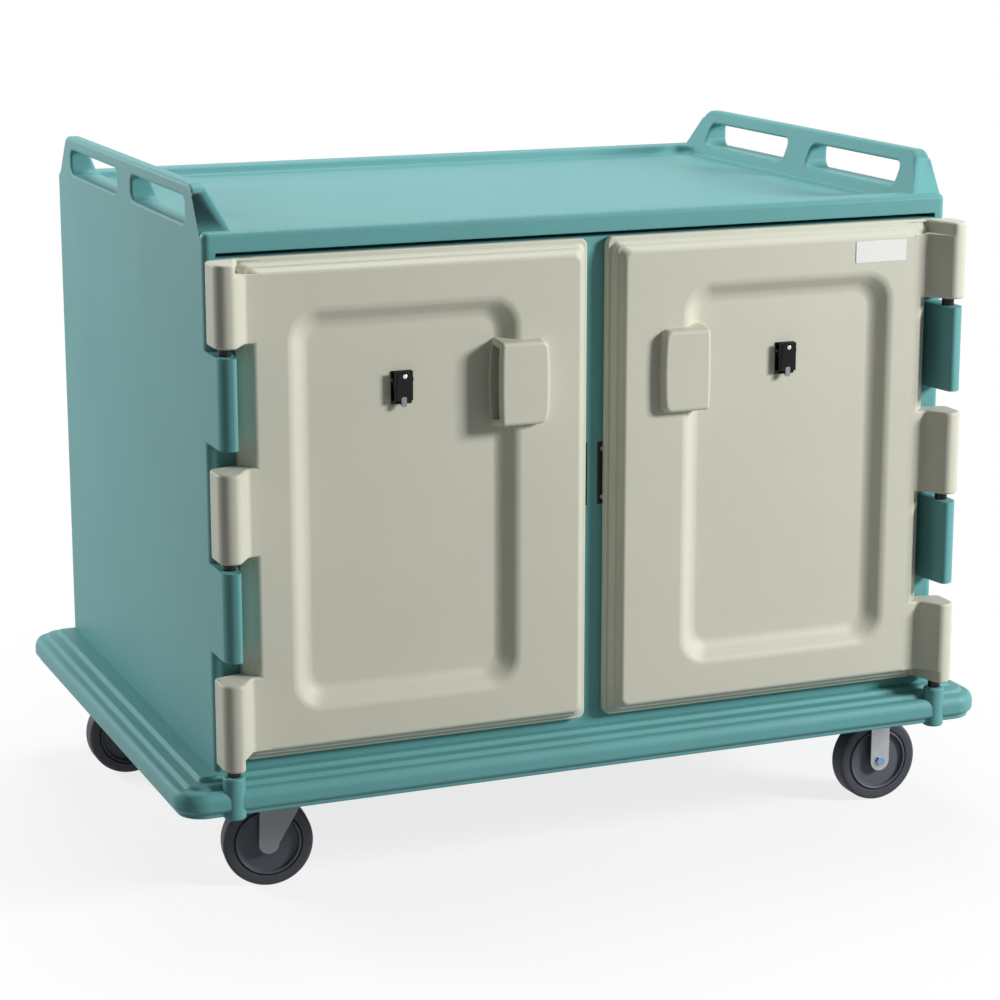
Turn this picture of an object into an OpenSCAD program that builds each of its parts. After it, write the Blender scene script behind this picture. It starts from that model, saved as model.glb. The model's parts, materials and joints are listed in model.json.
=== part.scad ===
// Enclosed meal tray cart: a moulded two-door cabinet on a bumper deck with four casters.
// X runs along the cart, +Y to the back, +Z up; the doors face -Y and the wheels stand on Z = 0.

/* [Cabinet] */
// Length of the cabinet along X
cabinet_w = 1320; // [1280:5:1400]
// Depth of the cabinet along Y
cabinet_d = 930; // [880:5:960]
// Height of the cabinet from the deck to the underside of the worktop
cabinet_h = 839; // [830:1:900]
// Radius of the cabinet's vertical corners
cabinet_corner = 12; // [6:1:20]
// Thickness of the moulded side walls beside the door openings
side_wall = 60; // [54:1:66]
// Thickness of the moulded back wall
back_wall = 48; // [30:1:60]
// Thickness of the moulded floor
floor_wall = 36; // [25:1:40]
// Thickness of the moulded ceiling
ceiling_wall = 25; // [20:1:40]
// Width of the upright between the two bays
mullion_w = 64; // [60:1:90]
// Depth of the dark groove between the doors' tops and the worktop's band
groove_depth = 14; // [8:1:18]
// Set-back of the groove's ends from the cabinet's sides
groove_inset = 20; // [16:1:40]

/* [Worktop] */
// Height of the worktop's front band
worktop_h = 31; // [28:1:45]
// Width of the raised rim round the worktop
rim_w = 50; // [42:1:60]
// Depth of the worktop's recess below the rim
rim_depth = 16; // [8:1:20]
// Height of the end handles above the rim
handle_h = 69; // [64:1:90]
// Width of a handle where it stands on the rim
handle_base_w = 46; // [42:1:50]
// Width of a handle along its top
handle_top_w = 20; // [16:1:26]
// Set-back of a handle's outer face from the cabinet's side
handle_inset = 2; // [1:0.5:6]
// Set-back of a handle's front foot from the cabinet's front
handle_front = 22; // [15:1:40]
// Set-back of a handle's rear foot from the cabinet's back
handle_back = 25; // [10:1:40]
// Slope of a handle's ends, foot to top
handle_slope = 43; // [20:1:50]
// Length of each grip slot
grip_len = 320; // [220:5:330]
// Height of each grip slot
grip_h = 42; // [34:1:46]
// Height of the slots' lower edge above the rim
grip_lift = 4; // [3:1:14]
// Solid length between the two grip slots
grip_bridge = 90; // [60:5:140]
// Depth of the scoop outside each grip slot
scoop_depth = 16; // [10:1:18]
// Drop of the scoop's lower edge below the rim
scoop_drop = 16; // [8:1:20]

/* [Deck] */
// Height of the deck from its flat underside to its top
deck_h = 58; // [50:1:70]
// Reach of the deck beyond the cabinet's front
deck_front = 62; // [58:1:66]
// Reach of the deck beyond the cabinet's back
deck_back = 42; // [30:1:70]
// Reach of the deck beyond each side
deck_side = 76; // [60:1:95]
// Radius of the deck's corners in plan
deck_corner = 50; // [46:1:80]
// Set-back of each of the deck's two upper steps
deck_step = 22; // [12:1:22]
// Height of each of the deck's two upper steps
deck_rise = 7.5; // [5:0.5:10]
// Height of the deck's set-back foot
deck_foot = 8; // [5:1:12]
// Set-back of the deck's foot
deck_foot_inset = 8; // [5:1:12]

/* [Doors] */
// Half of the gap between the two doors
door_gap_half = 18; // [12:1:24]
// Set-back of a door flange's hinge edge from the cabinet's side
door_side_inset = 45; // [43:1:50]
// Gap between the door's back and the cabinet's front
door_back_gap = 2; // [1:0.5:4]
// Thickness of the door's flange
flange_t = 14; // [10:1:18]
// Thickness of the raised panel in front of the flange
raised_t = 26; // [22:1:28]
// Gap over the door, under the worktop's band
door_top_gap = 8; // [5:1:14]
// Gap between the deck and the door's flange
door_bottom_gap = 19; // [15:1:24]
// Set-back of the raised panel's foot from the flange's free edge
raised_inset = 7; // [4:1:12]
// Draft of the raised panel's free side
raised_draft = 15; // [8:1:18]
// Radius of the leaf's corners, flange and raised panel alike
leaf_corner = 12; // [8:1:14]
// Set-back of the raised panel's face from the flange's top and bottom
raised_inset_z = 22; // [16:1:28]
// Width of the plain field between the flange's free edge and the recess
recess_free_margin = 133; // [124:1:140]
// Width of the plain field between the recess and the flange's hinge edge
recess_hinge_margin = 82; // [65:1:95]
// Distance from the flange's bottom to the recess
recess_lift = 82; // [70:1:100]
// Distance from the recess to the flange's top
recess_drop = 84; // [70:1:100]
// Depth of the recess
recess_depth = 22; // [14:1:24]
// Slope of the recess's sides, seen from the front
recess_slope = 24; // [16:1:30]
// Radius of the recess's corners at the face
recess_corner = 46; // [36:1:56]

/* [Pulls] */
// Distance from the flange's free edge to the pull
pull_margin = 82; // [72:1:92]
// Width of a pull
pull_w = 90; // [80:1:100]
// Height of a pull
pull_h = 145; // [120:1:170]
// Distance from the flange's bottom to the pull
pull_lift = 517; // [480:1:540]
// Height of the pull in front of the door's face
pull_t = 19; // [14:1:24]
// Thickness of the pull's front over the finger pocket
pull_skin = 12; // [9:0.5:14]
// Depth of the finger pocket, from the recess towards the free edge
pocket_depth = 58; // [40:1:64]
// Height of the finger pocket
pocket_h = 116; // [100:1:124]
// Draft of a pull's free side and ends
pull_draft = 6; // [3:0.5:8]
// Draft of a pull's open side
pull_open_draft = 2; // [1:0.5:3]
// Radius of a pull's corners at its foot
pull_corner = 12; // [8:1:14]

/* [Hinges] */
// Set-back of a hinge's axis from the cabinet's side
hinge_inset = 17; // [15:0.5:19]
// Distance of the hinge's axis in front of the cabinet
hinge_y = 47; // [46:0.5:48]
// Reach of the hinge knuckles in front of the hinge's axis
knuckle_reach = 33; // [31:0.5:35]
// Radius of a knuckle's outer front corner
knuckle_round = 22; // [16:0.5:22]
// Radius of a knuckle's inner front corner
nose_r = 8; // [5:0.5:8]
// Distance from the hinge's axis to a knuckle's inner front corner
nose_reach = 13; // [12:0.5:15]
// Reach of a door knuckle beyond the cabinet's side
knuckle_side = 4; // [2:0.5:6]
// Gap between a door knuckle's back and the cabinet's front
knuckle_back_gap = 18; // [16:0.5:20]
// Set-back of the door's arms, level with its face, from the flange's hinge edge
arm_inset = 7; // [4:0.5:10]
// Height of the lowest door knuckle's underside above the deck
knuckle_lift = 20; // [19:0.5:21]
// Spacing of the hinge knuckles
knuckle_pitch = 340; // [330:1:344]
// Length of a lower or middle door knuckle
knuckle_len = 144; // [136:1:148]
// Free height above a door knuckle, for lifting the door off
lift_off = 37; // [34:0.5:40]
// Radius of the hinge pin's two spigots
pin_r = 8; // [6:0.5:10]
// Radius of the hinge pin's collar
pin_collar_r = 10.5; // [10.5:0.5:13]
// Height of the hinge pin's collar
pin_collar_h = 13.7; // [12:0.1:14.5]
// Length of the spigot that carries the door
pin_up = 20; // [14:0.5:21]
// Length of the spigot that is pressed in below the collar
pin_down = 36; // [25:0.5:44]
// Radial clearance of the door knuckles on the pins
pin_clearance = 0.05; // [0.02:0.01:0.1]
// Gap between a pin's collar and the door knuckle that rests on it
seat_gap = 0.3; // [0.1:0.1:0.5]
// Radius of the hinge bosses on the deck's edge
boss_r = 21; // [19:0.5:24]
// Drop of the hinge bosses below the deck's underside
boss_drop = 6; // [4:0.5:12]

/* [Catches and clips] */
// Width of a magnetic catch
catch_w = 20; // [16:1:22]
// Height of a magnetic catch
catch_h = 106; // [96:1:120]
// Depth of a magnetic catch, set flush into the upright
catch_t = 10; // [8:1:14]
// Distance from the cabinet's centre to a catch
catch_x = 9; // [6:1:10]
// Height of a catch's lower end above the deck
catch_lift = 383; // [370:1:400]
// Thickness of the steel strike plate on the door
strike_t = 1.5; // [1:0.5:2]
// Gap between a strike plate and its magnet
catch_gap = 0.5; // [0.3:0.1:1]
// Distance from the recess's middle to a clip's middle, towards the hinge
clip_shift = 2; // [-40:1:40]
// Height of a clip's pivot above the recess's middle
clip_lift = 200; // [160:1:240]
// Width of a clip's lever
clip_w = 32; // [26:1:40]
// Height of a clip's base plate
clip_h = 54; // [50:1:60]
// Thickness of the clip's pressed metal
clip_t = 1.6; // [1.2:0.1:2]
// Opening between a clip's base and its lever
clip_gap = 9; // [8:0.5:10]
// Radius of a clip's pivot wire
clip_pin_r = 1.5; // [1.2:0.1:1.8]

/* [Plate] */
// Length of the blank plate on the right door
plate_label_w = 96; // [70:1:120]
// Height of the blank plate
plate_label_h = 36; // [24:1:44]
// Thickness of the blank plate
plate_label_t = 1; // [0.5:0.1:2]
// Radius of the blank plate's corners
plate_label_r = 2; // [1:0.5:4]
// Distance from the plate to the flange's hinge edge
plate_label_margin = 55; // [40:1:70]
// Distance from the flange's top down to the plate
plate_label_drop = 28; // [27:1:34]

/* [Tray rails] */
// Thickness of a rail panel
rail_t = 24; // [18:1:30]
// Reach of a ledge from its panel
ledge_w = 18; // [14:1:22]
// Thickness of a ledge
ledge_t = 8; // [6:1:10]
// Spacing of the tray levels
level_pitch = 133.35; // [114.3:0.05:135]
// Number of tray levels in a bay
levels = 5; // [3:1:5]
// Height of the lowest ledge above the bay's floor
first_level = 60; // [40:1:70]
// Free length before and behind a rail panel
rail_margin = 40; // [30:1:60]
// Height left free over a rail panel
rail_top_gap = 60; // [40:1:80]

/* [Casters] */
// Radius of the wheels
wheel_r = 76.2; // [72:0.1:78]
// Width of the tyres
tyre_w = 38; // [34:0.5:40]
// Radius of the wheel's core under the tyre
core_r = 57; // [54:0.5:60]
// Set-back of the core's web from the tyre's side
web_inset = 4; // [2:0.5:6]
// Radius of the wheel's hub
hub_r = 17; // [15:0.5:20]
// Gap between the hub and a fork's leg
hub_gap = 0.5; // [0.3:0.1:1]
// Overall height of a caster, floor to deck
caster_h = 190; // [188:0.5:200]
// Length of the mounting plates along X
plate_l = 114; // [110:1:120]
// Width of the mounting plates along Y
plate_w = 102; // [96:1:106]
// Thickness of the mounting plates
plate_t = 6; // [5:0.5:8]
// Bolt spacing along X
bolt_x = 92; // [88:1:94]
// Bolt spacing along Y
bolt_y = 76; // [70:1:80]
// Radius of the mounting bolts
bolt_r = 4; // [3:0.5:5]
// Length of the mounting bolts above their plate
bolt_len = 26; // [18:1:34]
// Thickness of the fork's steel
fork_t = 4; // [3:0.5:5]
// Gap between the tyre and a fork's leg
fork_gap = 3; // [2:0.5:5]
// Trail of the swivel casters, pivot to axle
trail = 38; // [30:1:42]
// Radius of the swivel fork's crown
crown_r = 38; // [34:1:42]
// Thickness of the swivel fork's crown
crown_t = 8; // [6:0.5:10]
// Radius of the balls in the swivel bearing
ball_r = 3; // [2.5:0.1:3.2]
// Radius of the ring that the balls run on
ball_ring_r = 27; // [24:0.5:30]
// Radius of the king pin
king_pin_r = 8; // [6:0.5:10]
// Radius of the axles
axle_r = 5; // [4:0.5:6]
// Radius of the bearing sleeves on the axles
sleeve_r = 8; // [7:0.5:9]
// Distance of the front swivel pivot from the deck's left end
front_swivel_inset = 236; // [150:1:260]
// Distance of the rear swivel pivot from the deck's left end
rear_swivel_inset = 174; // [150:1:260]
// Distance of the rigid axles from the deck's right end
rigid_inset = 116; // [90:1:180]
// Distance of the front casters' middle from the deck's front edge
front_caster_inset = 179; // [160:1:220]
// Distance of the rear casters' middle from the deck's back edge
rear_caster_inset = 190; // [160:1:220]
// Turn of the front swivel caster at rest, seen from above
front_yaw = -9; // [-30:1:30]
// Turn of the rear swivel caster at rest, seen from above
rear_yaw = 0; // [-30:1:30]

/* [Hidden] */
$fn = 64;
eps = 1;

teal = [0.43, 0.65, 0.64];
cream = [0.79, 0.78, 0.71];
steel = [0.62, 0.65, 0.65];
black = [0.06, 0.06, 0.06];
grey_core = [0.28, 0.29, 0.31];
grey_tyre = [0.22, 0.23, 0.25];

// Heights of the main levels
deck_z = caster_h;
deck_top = deck_z + deck_h;
cabinet_top = deck_top + cabinet_h;
rim_z = cabinet_top + worktop_h;
half_w = cabinet_w / 2;
deck_half = half_w + deck_side;

// The origin lies under the middle of the whole cart
reach_front = hinge_y + knuckle_reach;
y_shift = -(cabinet_d + deck_back - reach_front) / 2;

// Bays
bay_x0 = mullion_w / 2;
bay_x1 = half_w - side_wall;
bay_z0 = deck_top + floor_wall;
bay_z1 = cabinet_top - ceiling_wall;
bay_depth = cabinet_d - back_wall;

// Doors: y values are measured forward from the cabinet's front
hinge_foot = 1;
hinge_draft = 23;
door_reach = half_w - door_side_inset;
hinge_x = half_w - hinge_inset;
recess_x = door_gap_half + recess_free_margin;
recess_w = door_reach - recess_hinge_margin - recess_x;
pull_x = door_gap_half + pull_margin;
door_z0 = deck_top + door_bottom_gap;
door_z1 = cabinet_top - door_top_gap;
flange_y = door_back_gap + flange_t;
face_y = flange_y + raised_t;
recess_z0 = door_z0 + recess_lift;
recess_h = door_z1 - recess_drop - recess_z0;
pull_z0 = door_z0 + pull_lift;
pull_y = face_y + pull_t;

// Hinges
pin_room = 2;
knuckle_foot = 22;
knuckle_root = 26;
knuckle_back_r = 5;
nose = [hinge_x - nose_reach + nose_r, nose_r - reach_front];
knuckle_z = [for (i = [0:2]) deck_top + knuckle_lift + i * knuckle_pitch];
pin_base_drop = pin_collar_h + seat_gap;

// Clips
clip_x = recess_x + recess_w / 2 + clip_shift;
floor_y = face_y - recess_depth;
clip_z = recess_z0 + recess_h / 2 + clip_lift;
clip_pin_y = floor_y + clip_t + clip_gap / 2;

// Casters
front_swivel_x = deck_half - front_swivel_inset;
rear_swivel_x = deck_half - rear_swivel_inset;
rigid_x = deck_half - rigid_inset;
front_y = front_caster_inset - deck_front;
rear_y = cabinet_d + deck_back - rear_caster_inset;
leg_y = tyre_w / 2 + fork_gap;
plate_z = caster_h - plate_t;
race_gap = 0.3;
bearing_gap = 1.4;
crown_chord = 33;
crown_top = plate_z - 2 * ball_r - bearing_gap;
crown_z = crown_top - crown_t;
race_z = crown_top + ball_r;
bay_sign = [-1, 1];

module cart() { translate([0, y_shift, 0]) children(); }
module side(s) { if (s < 0) mirror([1, 0, 0]) children(); else children(); }

// Points on an arc, and the angle at which a line from a point outside touches a circle
function arc(centre, r, a0, a1, steps = 8) =
    [for (i = [0 : steps]) let (a = a0 + (a1 - a0) * i / steps) centre + r * [cos(a), sin(a)]];
function tangent_angle(point, centre, r) =
    let (d = point - centre) atan2(d.y, d.x) + acos(r / norm(d));

// Flat rectangle with round corners, from corner to corner
module round_rect(x0, y0, x1, y1, r) {
    translate([x0 + r, y0]) square([x1 - x0 - 2 * r, y1 - y0]);
    translate([x0, y0 + r]) square([x1 - x0, y1 - y0 - 2 * r]);
    for (x = [x0 + r, x1 - r], y = [y0 + r, y1 - r]) translate([x, y]) circle(r);
}

// A plate that stands upright, drawn in X and Z, from depth y_front back to depth y_back
module upright(y_front, y_back) {
    translate([0, -y_back, 0]) rotate([90, 0, 0]) linear_extrude(y_front - y_back) children();
}

// ---------- cabinet ----------

module bay_cut(s) {
    side(s) translate([bay_x0, -eps, bay_z0])
        cube([bay_x1 - bay_x0, bay_depth + eps, bay_z1 - bay_z0]);
}

module catch_place(s) { side(s) translate([catch_x, 0, deck_top + catch_lift]) children(); }

// Outline of a knuckle, from the foot of its inner flank round its front to its outer side
function knuckle_front(foot, side_x) = concat(
    [foot],
    arc(nose, nose_r, tangent_angle(foot, nose, nose_r), 270),
    arc([side_x - knuckle_round, knuckle_round - reach_front], knuckle_round, 270, 360)
);

module cabinet_knuckle_outline() {
    foot_x = hinge_x - knuckle_foot;
    polygon(concat(
        [[foot_x, cabinet_corner]], knuckle_front([foot_x, 0], half_w), [[half_w, cabinet_corner]]
    ));
}

module pin_hole(top_z, depth, r) {
    translate([hinge_x, -hinge_y, top_z - depth]) cylinder(r = r, h = depth + eps);
}

module cabinet_shell() cart() color(teal) {
    difference() {
        translate([0, 0, deck_top]) linear_extrude(cabinet_h)
            round_rect(-half_w, 0, half_w, cabinet_d, cabinet_corner);
        for (s = bay_sign) bay_cut(s);
        translate([groove_inset - half_w, -eps, door_z1])
            cube([2 * (half_w - groove_inset), groove_depth + eps, door_top_gap + eps]);
        for (s = bay_sign) catch_place(s) translate([0, -eps, 0]) cube([catch_w, catch_t + eps, catch_h]);
        for (s = bay_sign, z = catch_screw_z) catch_place(s) translate([catch_w / 2, 0, z])
            rotate([-90, 0, 0]) cylinder(r = catch_screw_r, h = catch_screw_len);
    }
    for (s = bay_sign) side(s) for (i = [1, 2]) difference() {
        translate([0, 0, knuckle_z[i - 1] + knuckle_len + lift_off])
            linear_extrude(knuckle_z[i] - pin_base_drop - knuckle_z[i - 1] - knuckle_len - lift_off)
                cabinet_knuckle_outline();
        pin_hole(knuckle_z[i] - pin_base_drop, pin_down, pin_r);
    }
}

// ---------- worktop and handles ----------

module grip_outline() {
    middle = (handle_front + cabinet_d - handle_back) / 2;
    z0 = rim_z + grip_lift;
    for (y0 = [middle - grip_bridge / 2 - grip_len, middle + grip_bridge / 2])
        round_rect(y0, z0, y0 + grip_len, z0 + grip_h, grip_h / 3);
}

// Sloped hollow in the outer face, under and over both grip slots
module scoop_cut() {
    z0 = rim_z - scoop_drop;
    z1 = rim_z + grip_lift;
    middle = (handle_front + cabinet_d - handle_back) / 2;
    for (y0 = [middle - grip_bridge / 2 - grip_len, middle + grip_bridge / 2])
        translate([0, y0 + grip_len, 0]) rotate([90, 0, 0]) linear_extrude(grip_len)
            polygon([
                [half_w + eps, z0], [half_w - handle_inset, z0],
                [half_w - handle_inset - scoop_depth, z1],
                [half_w - handle_inset - scoop_depth, z1 + grip_h / 2],
                [half_w - handle_inset, z1 + grip_h], [half_w + eps, z1 + grip_h]
            ]);
}

module worktop() cart() color(teal) difference() {
    translate([0, 0, cabinet_top]) linear_extrude(worktop_h)
        round_rect(-half_w, 0, half_w, cabinet_d, cabinet_corner);
    translate([0, 0, rim_z - rim_depth]) linear_extrude(rim_depth + eps)
        round_rect(-half_w + rim_w, rim_w, half_w - rim_w, cabinet_d - rim_w, cabinet_corner);
    for (s = bay_sign) side(s) scoop_cut();
}

module end_handle(s) cart() color(teal) side(s) difference() {
    outer = half_w - handle_inset;
    intersection() {
        translate([0, cabinet_d, 0]) rotate([90, 0, 0]) linear_extrude(cabinet_d) polygon([
            [outer, rim_z], [outer, rim_z + handle_h],
            [outer - handle_top_w, rim_z + handle_h], [outer - handle_base_w, rim_z]
        ]);
        rotate([90, 0, 90]) linear_extrude(half_w) polygon([
            [handle_front, rim_z], [handle_front + handle_slope, rim_z + handle_h],
            [cabinet_d - handle_back - handle_slope, rim_z + handle_h], [cabinet_d - handle_back, rim_z]
        ]);
    }
    rotate([90, 0, 90]) linear_extrude(half_w + eps) grip_outline();
    scoop_cut();
}
module left_end_handle() { end_handle(-1); }
module right_end_handle() { end_handle(1); }

// ---------- deck ----------

module deck_layer(z0, z1, inset) {
    translate([0, 0, z0]) linear_extrude(z1 - z0) round_rect(
        -deck_half + inset, -deck_front + inset,
        deck_half - inset, cabinet_d + deck_back - inset, deck_corner - inset);
}

module bolt_places() {
    for (x = [-bolt_x / 2, bolt_x / 2], y = [-bolt_y / 2, bolt_y / 2]) translate([x, y, 0]) children();
}

module caster_places() {
    translate([-front_swivel_x, front_y, 0]) children();
    translate([-rear_swivel_x, rear_y, 0]) children();
    for (y = [front_y, rear_y]) translate([rigid_x, y, 0]) children();
}

module bumper_deck() cart() color(teal) difference() {
    union() {
        deck_layer(deck_z, deck_z + deck_foot, deck_foot_inset);
        deck_layer(deck_z + deck_foot, deck_top - 2 * deck_rise, 0);
        deck_layer(deck_top - 2 * deck_rise, deck_top - deck_rise, deck_step);
        deck_layer(deck_top - deck_rise, deck_top, 2 * deck_step);
        for (s = bay_sign) side(s) translate([hinge_x, -hinge_y, deck_z - boss_drop])
            cylinder(r = boss_r, h = knuckle_z[0] - pin_base_drop - deck_z + boss_drop);
    }
    for (s = bay_sign) side(s) pin_hole(knuckle_z[0] - pin_base_drop, pin_down, pin_r);
    caster_places() bolt_places() translate([0, 0, deck_z - eps])
        cylinder(r = bolt_r, h = bolt_len - plate_t + eps);
}

// ---------- tray rails ----------

// One panel with its ledges, standing on the bay's floor against the wall at x
module rail_panel(x, inward) {
    len = bay_depth - 2 * rail_margin;
    x0 = inward > 0 ? x : x - rail_t;
    ledge_x = inward > 0 ? x + rail_t - eps : x - rail_t - ledge_w;
    translate([x0, rail_margin, bay_z0]) cube([rail_t, len, bay_z1 - rail_top_gap - bay_z0]);
    for (i = [0 : levels - 1])
        translate([ledge_x, rail_margin, bay_z0 + first_level + i * level_pitch - ledge_t])
            cube([ledge_w + eps, len, ledge_t]);
}
module left_bay_outer_rails() cart() color(cream) side(-1) rail_panel(bay_x1, -1);
module left_bay_inner_rails() cart() color(cream) side(-1) rail_panel(bay_x0, 1);
module right_bay_inner_rails() cart() color(cream) rail_panel(bay_x0, 1);
module right_bay_outer_rails() cart() color(cream) rail_panel(bay_x1, -1);

// ---------- hinge pins ----------

module hinge_pins(s) cart() color(black) side(s) for (z = knuckle_z) translate([hinge_x, -hinge_y, 0]) {
    translate([0, 0, z - pin_base_drop - pin_down]) cylinder(r = pin_r, h = pin_down);
    translate([0, 0, z - pin_base_drop]) cylinder(r = pin_collar_r, h = pin_collar_h);
    translate([0, 0, z - seat_gap]) cylinder(r = pin_r, h = pin_up + seat_gap);
}
module left_hinge_pins() { hinge_pins(-1); }
module right_hinge_pins() { hinge_pins(1); }

// ---------- magnetic catches ----------

catch_screw_r = 2;
catch_screw_len = 32;
catch_screw_z = [12, catch_h - 12];
catch_head_r = 4;
catch_head_t = 2.4;

module magnet_catch(s) cart() color(black) catch_place(s) difference() {
    cube([catch_w, catch_t, catch_h]);
    for (z = catch_screw_z) translate([catch_w / 2, -eps, z]) rotate([-90, 0, 0]) {
        cylinder(r = catch_screw_r, h = catch_t + 2 * eps);
        cylinder(r = catch_head_r, h = catch_head_t + eps);
    }
}
module left_magnet_catch() { magnet_catch(-1); }
module right_magnet_catch() { magnet_catch(1); }

module catch_screws() cart() color(steel) for (s = bay_sign, z = catch_screw_z)
    catch_place(s) translate([catch_w / 2, 0, z]) rotate([-90, 0, 0]) {
        cylinder(r = catch_screw_r, h = catch_screw_len);
        cylinder(r = catch_head_r, h = catch_head_t);
    }

strike_x0 = door_gap_half + 3;
strike_w = catch_x + catch_w - strike_x0;

module strike_block(depth) {
    translate([strike_x0, -catch_gap - strike_t, deck_top + catch_lift]) cube([strike_w, depth, catch_h]);
}
module strike_plate(s) cart() color(steel) side(s) strike_block(strike_t);
module left_strike_plate() { strike_plate(-1); }
module right_strike_plate() { strike_plate(1); }

// ---------- doors ----------

// Outline of a door knuckle with its arm, which starts at the depth y of the leaf's flange or face
module door_knuckle_outline(arm_x, y) {
    side_x = half_w + knuckle_side;
    polygon(concat(
        [[door_reach - knuckle_root, -door_back_gap - 1], [door_reach - knuckle_root, -y]],
        knuckle_front([arm_x, -y], side_x),
        arc([side_x, -knuckle_back_gap] - knuckle_back_r * [1, 1], knuckle_back_r, 0, 90),
        [[door_reach, -door_back_gap - 1]]
    ));
}

// Tapered block between two upright outlines, given by their corner points and radii
module tapered(y0, y1, a, b, ra, rb) {
    hull() {
        upright(y0 + 0.01, y0) round_rect(a[0], a[1], a[2], a[3], ra, $fn = 32);
        upright(y1, y1 - 0.01) round_rect(b[0], b[1], b[2], b[3], rb, $fn = 32);
    }
}

module raised_panel() {
    x0 = door_gap_half + raised_inset;
    tapered(flange_y - eps, face_y,
        [x0, door_z0 + raised_inset, door_reach - hinge_foot, door_z1 - raised_inset],
        [x0 + raised_draft, door_z0 + raised_inset_z, door_reach - hinge_draft, door_z1 - raised_inset_z],
        leaf_corner, leaf_corner);
}

module recess_cut() {
    x1 = recess_x + recess_w;
    z1 = recess_z0 + recess_h;
    g = recess_slope;
    tapered(floor_y, face_y + 0.01, [recess_x + g, recess_z0 + g, x1 - g, z1 - g],
        [recess_x, recess_z0, x1, z1], recess_corner - g / 2, recess_corner);
}

module pull_block() {
    x1 = pull_x + pull_w;
    z1 = pull_z0 + pull_h;
    tapered(floor_y - eps, pull_y, [pull_x, pull_z0, x1, z1],
        [pull_x + pull_draft, pull_z0 + pull_draft, x1 - pull_open_draft, z1 - pull_draft],
        pull_corner, pull_corner - pull_open_draft);
}

module door_panel(s) cart() color(cream) side(s) difference() {
    union() {
        upright(flange_y, door_back_gap) round_rect(door_gap_half, door_z0, door_reach, door_z1, leaf_corner);
        difference() {
            raised_panel();
            recess_cut();
        }
        pull_block();
        for (i = [0 : 2]) {
            top = i == 2 ? door_z1 : knuckle_z[i] + knuckle_len;
            low_face = max(knuckle_z[i], door_z0 + raised_inset_z);
            top_face = min(top, door_z1 - raised_inset_z);
            translate([0, 0, knuckle_z[i]]) linear_extrude(top - knuckle_z[i])
                door_knuckle_outline(door_reach, flange_y);
            translate([0, 0, low_face]) linear_extrude(top_face - low_face)
                door_knuckle_outline(door_reach - arm_inset, face_y);
        }
    }
    translate([pull_x + pull_w - pocket_depth, -pull_y + pull_skin, pull_z0 + (pull_h - pocket_h) / 2])
        cube([pocket_depth + eps, pull_y - pull_skin - floor_y, pocket_h]);
    for (z = knuckle_z) translate([hinge_x, -hinge_y, z - eps])
        cylinder(r = pin_r + pin_clearance, h = pin_up + pin_room + eps);
    strike_block(strike_t + eps);
}
module left_door_panel() { door_panel(-1); }
module right_door_panel() { door_panel(1); }

// Blank plate, stuck to the right door's face above the recess
module right_blank_plate() cart() color("white")
    translate([door_reach - plate_label_margin - plate_label_w, 0, 0])
        upright(face_y + plate_label_t, face_y) translate([0, door_z1 - plate_label_drop - plate_label_h])
            round_rect(0, 0, plate_label_w, plate_label_h, plate_label_r);

// ---------- menu clips ----------

ear_t = 1.4;
ear_r = 4;
ear_gap = 0.4;
lever_drop = 34;
lever_rise = 14;
cheek_r = 3.2;
cheek_drop = 12;
spring_wire = 1;
spring_len = 12;
tab_w = 12;
tab_drop = 5;
jaw_gap = 0.3;
spring_r = clip_pin_r + spring_wire + 0.2;

module clip_place(s) { side(s) translate([clip_x, 0, clip_z]) children(); }

module clip_base(s) cart() color(black) clip_place(s) difference() {
    union() {
        translate([-clip_w / 2 - ear_gap - ear_t, -floor_y - clip_t, lever_rise - clip_h])
            cube([clip_w + 2 * (ear_gap + ear_t), clip_t, clip_h]);
        for (x = [-1, 1]) translate([x * (clip_w / 2 + ear_gap + ear_t / 2), 0, 0]) {
            translate([-ear_t / 2, -clip_pin_y, -ear_r]) cube([ear_t, clip_pin_y - floor_y, 2 * ear_r]);
            translate([-ear_t / 2, -clip_pin_y, 0]) rotate([0, 90, 0]) cylinder(r = ear_r, h = ear_t);
        }
    }
    translate([0, -clip_pin_y, 0]) rotate([0, 90, 0])
        cylinder(r = clip_pin_r, h = clip_w + 4 * (ear_gap + ear_t), center = true);
}
module left_clip_base() { clip_base(-1); }
module right_clip_base() { clip_base(1); }

module clip_pin(s) cart() color(steel) clip_place(s) translate([0, -clip_pin_y, 0]) rotate([0, 90, 0])
    cylinder(r = clip_pin_r, h = clip_w + 2 * (ear_gap + ear_t), center = true);
module left_clip_pin() { clip_pin(-1); }
module right_clip_pin() { clip_pin(1); }

// Coils round the pivot wire, drawn as rings that touch
module clip_spring(s) cart() color(steel) clip_place(s) translate([0, -clip_pin_y, 0]) rotate([0, 90, 0])
    difference() {
        cylinder(r = spring_r, h = spring_len, center = true);
        cylinder(r = clip_pin_r, h = spring_len + eps, center = true);
    }
module left_clip_spring() { clip_spring(-1); }
module right_clip_spring() { clip_spring(1); }

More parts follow.
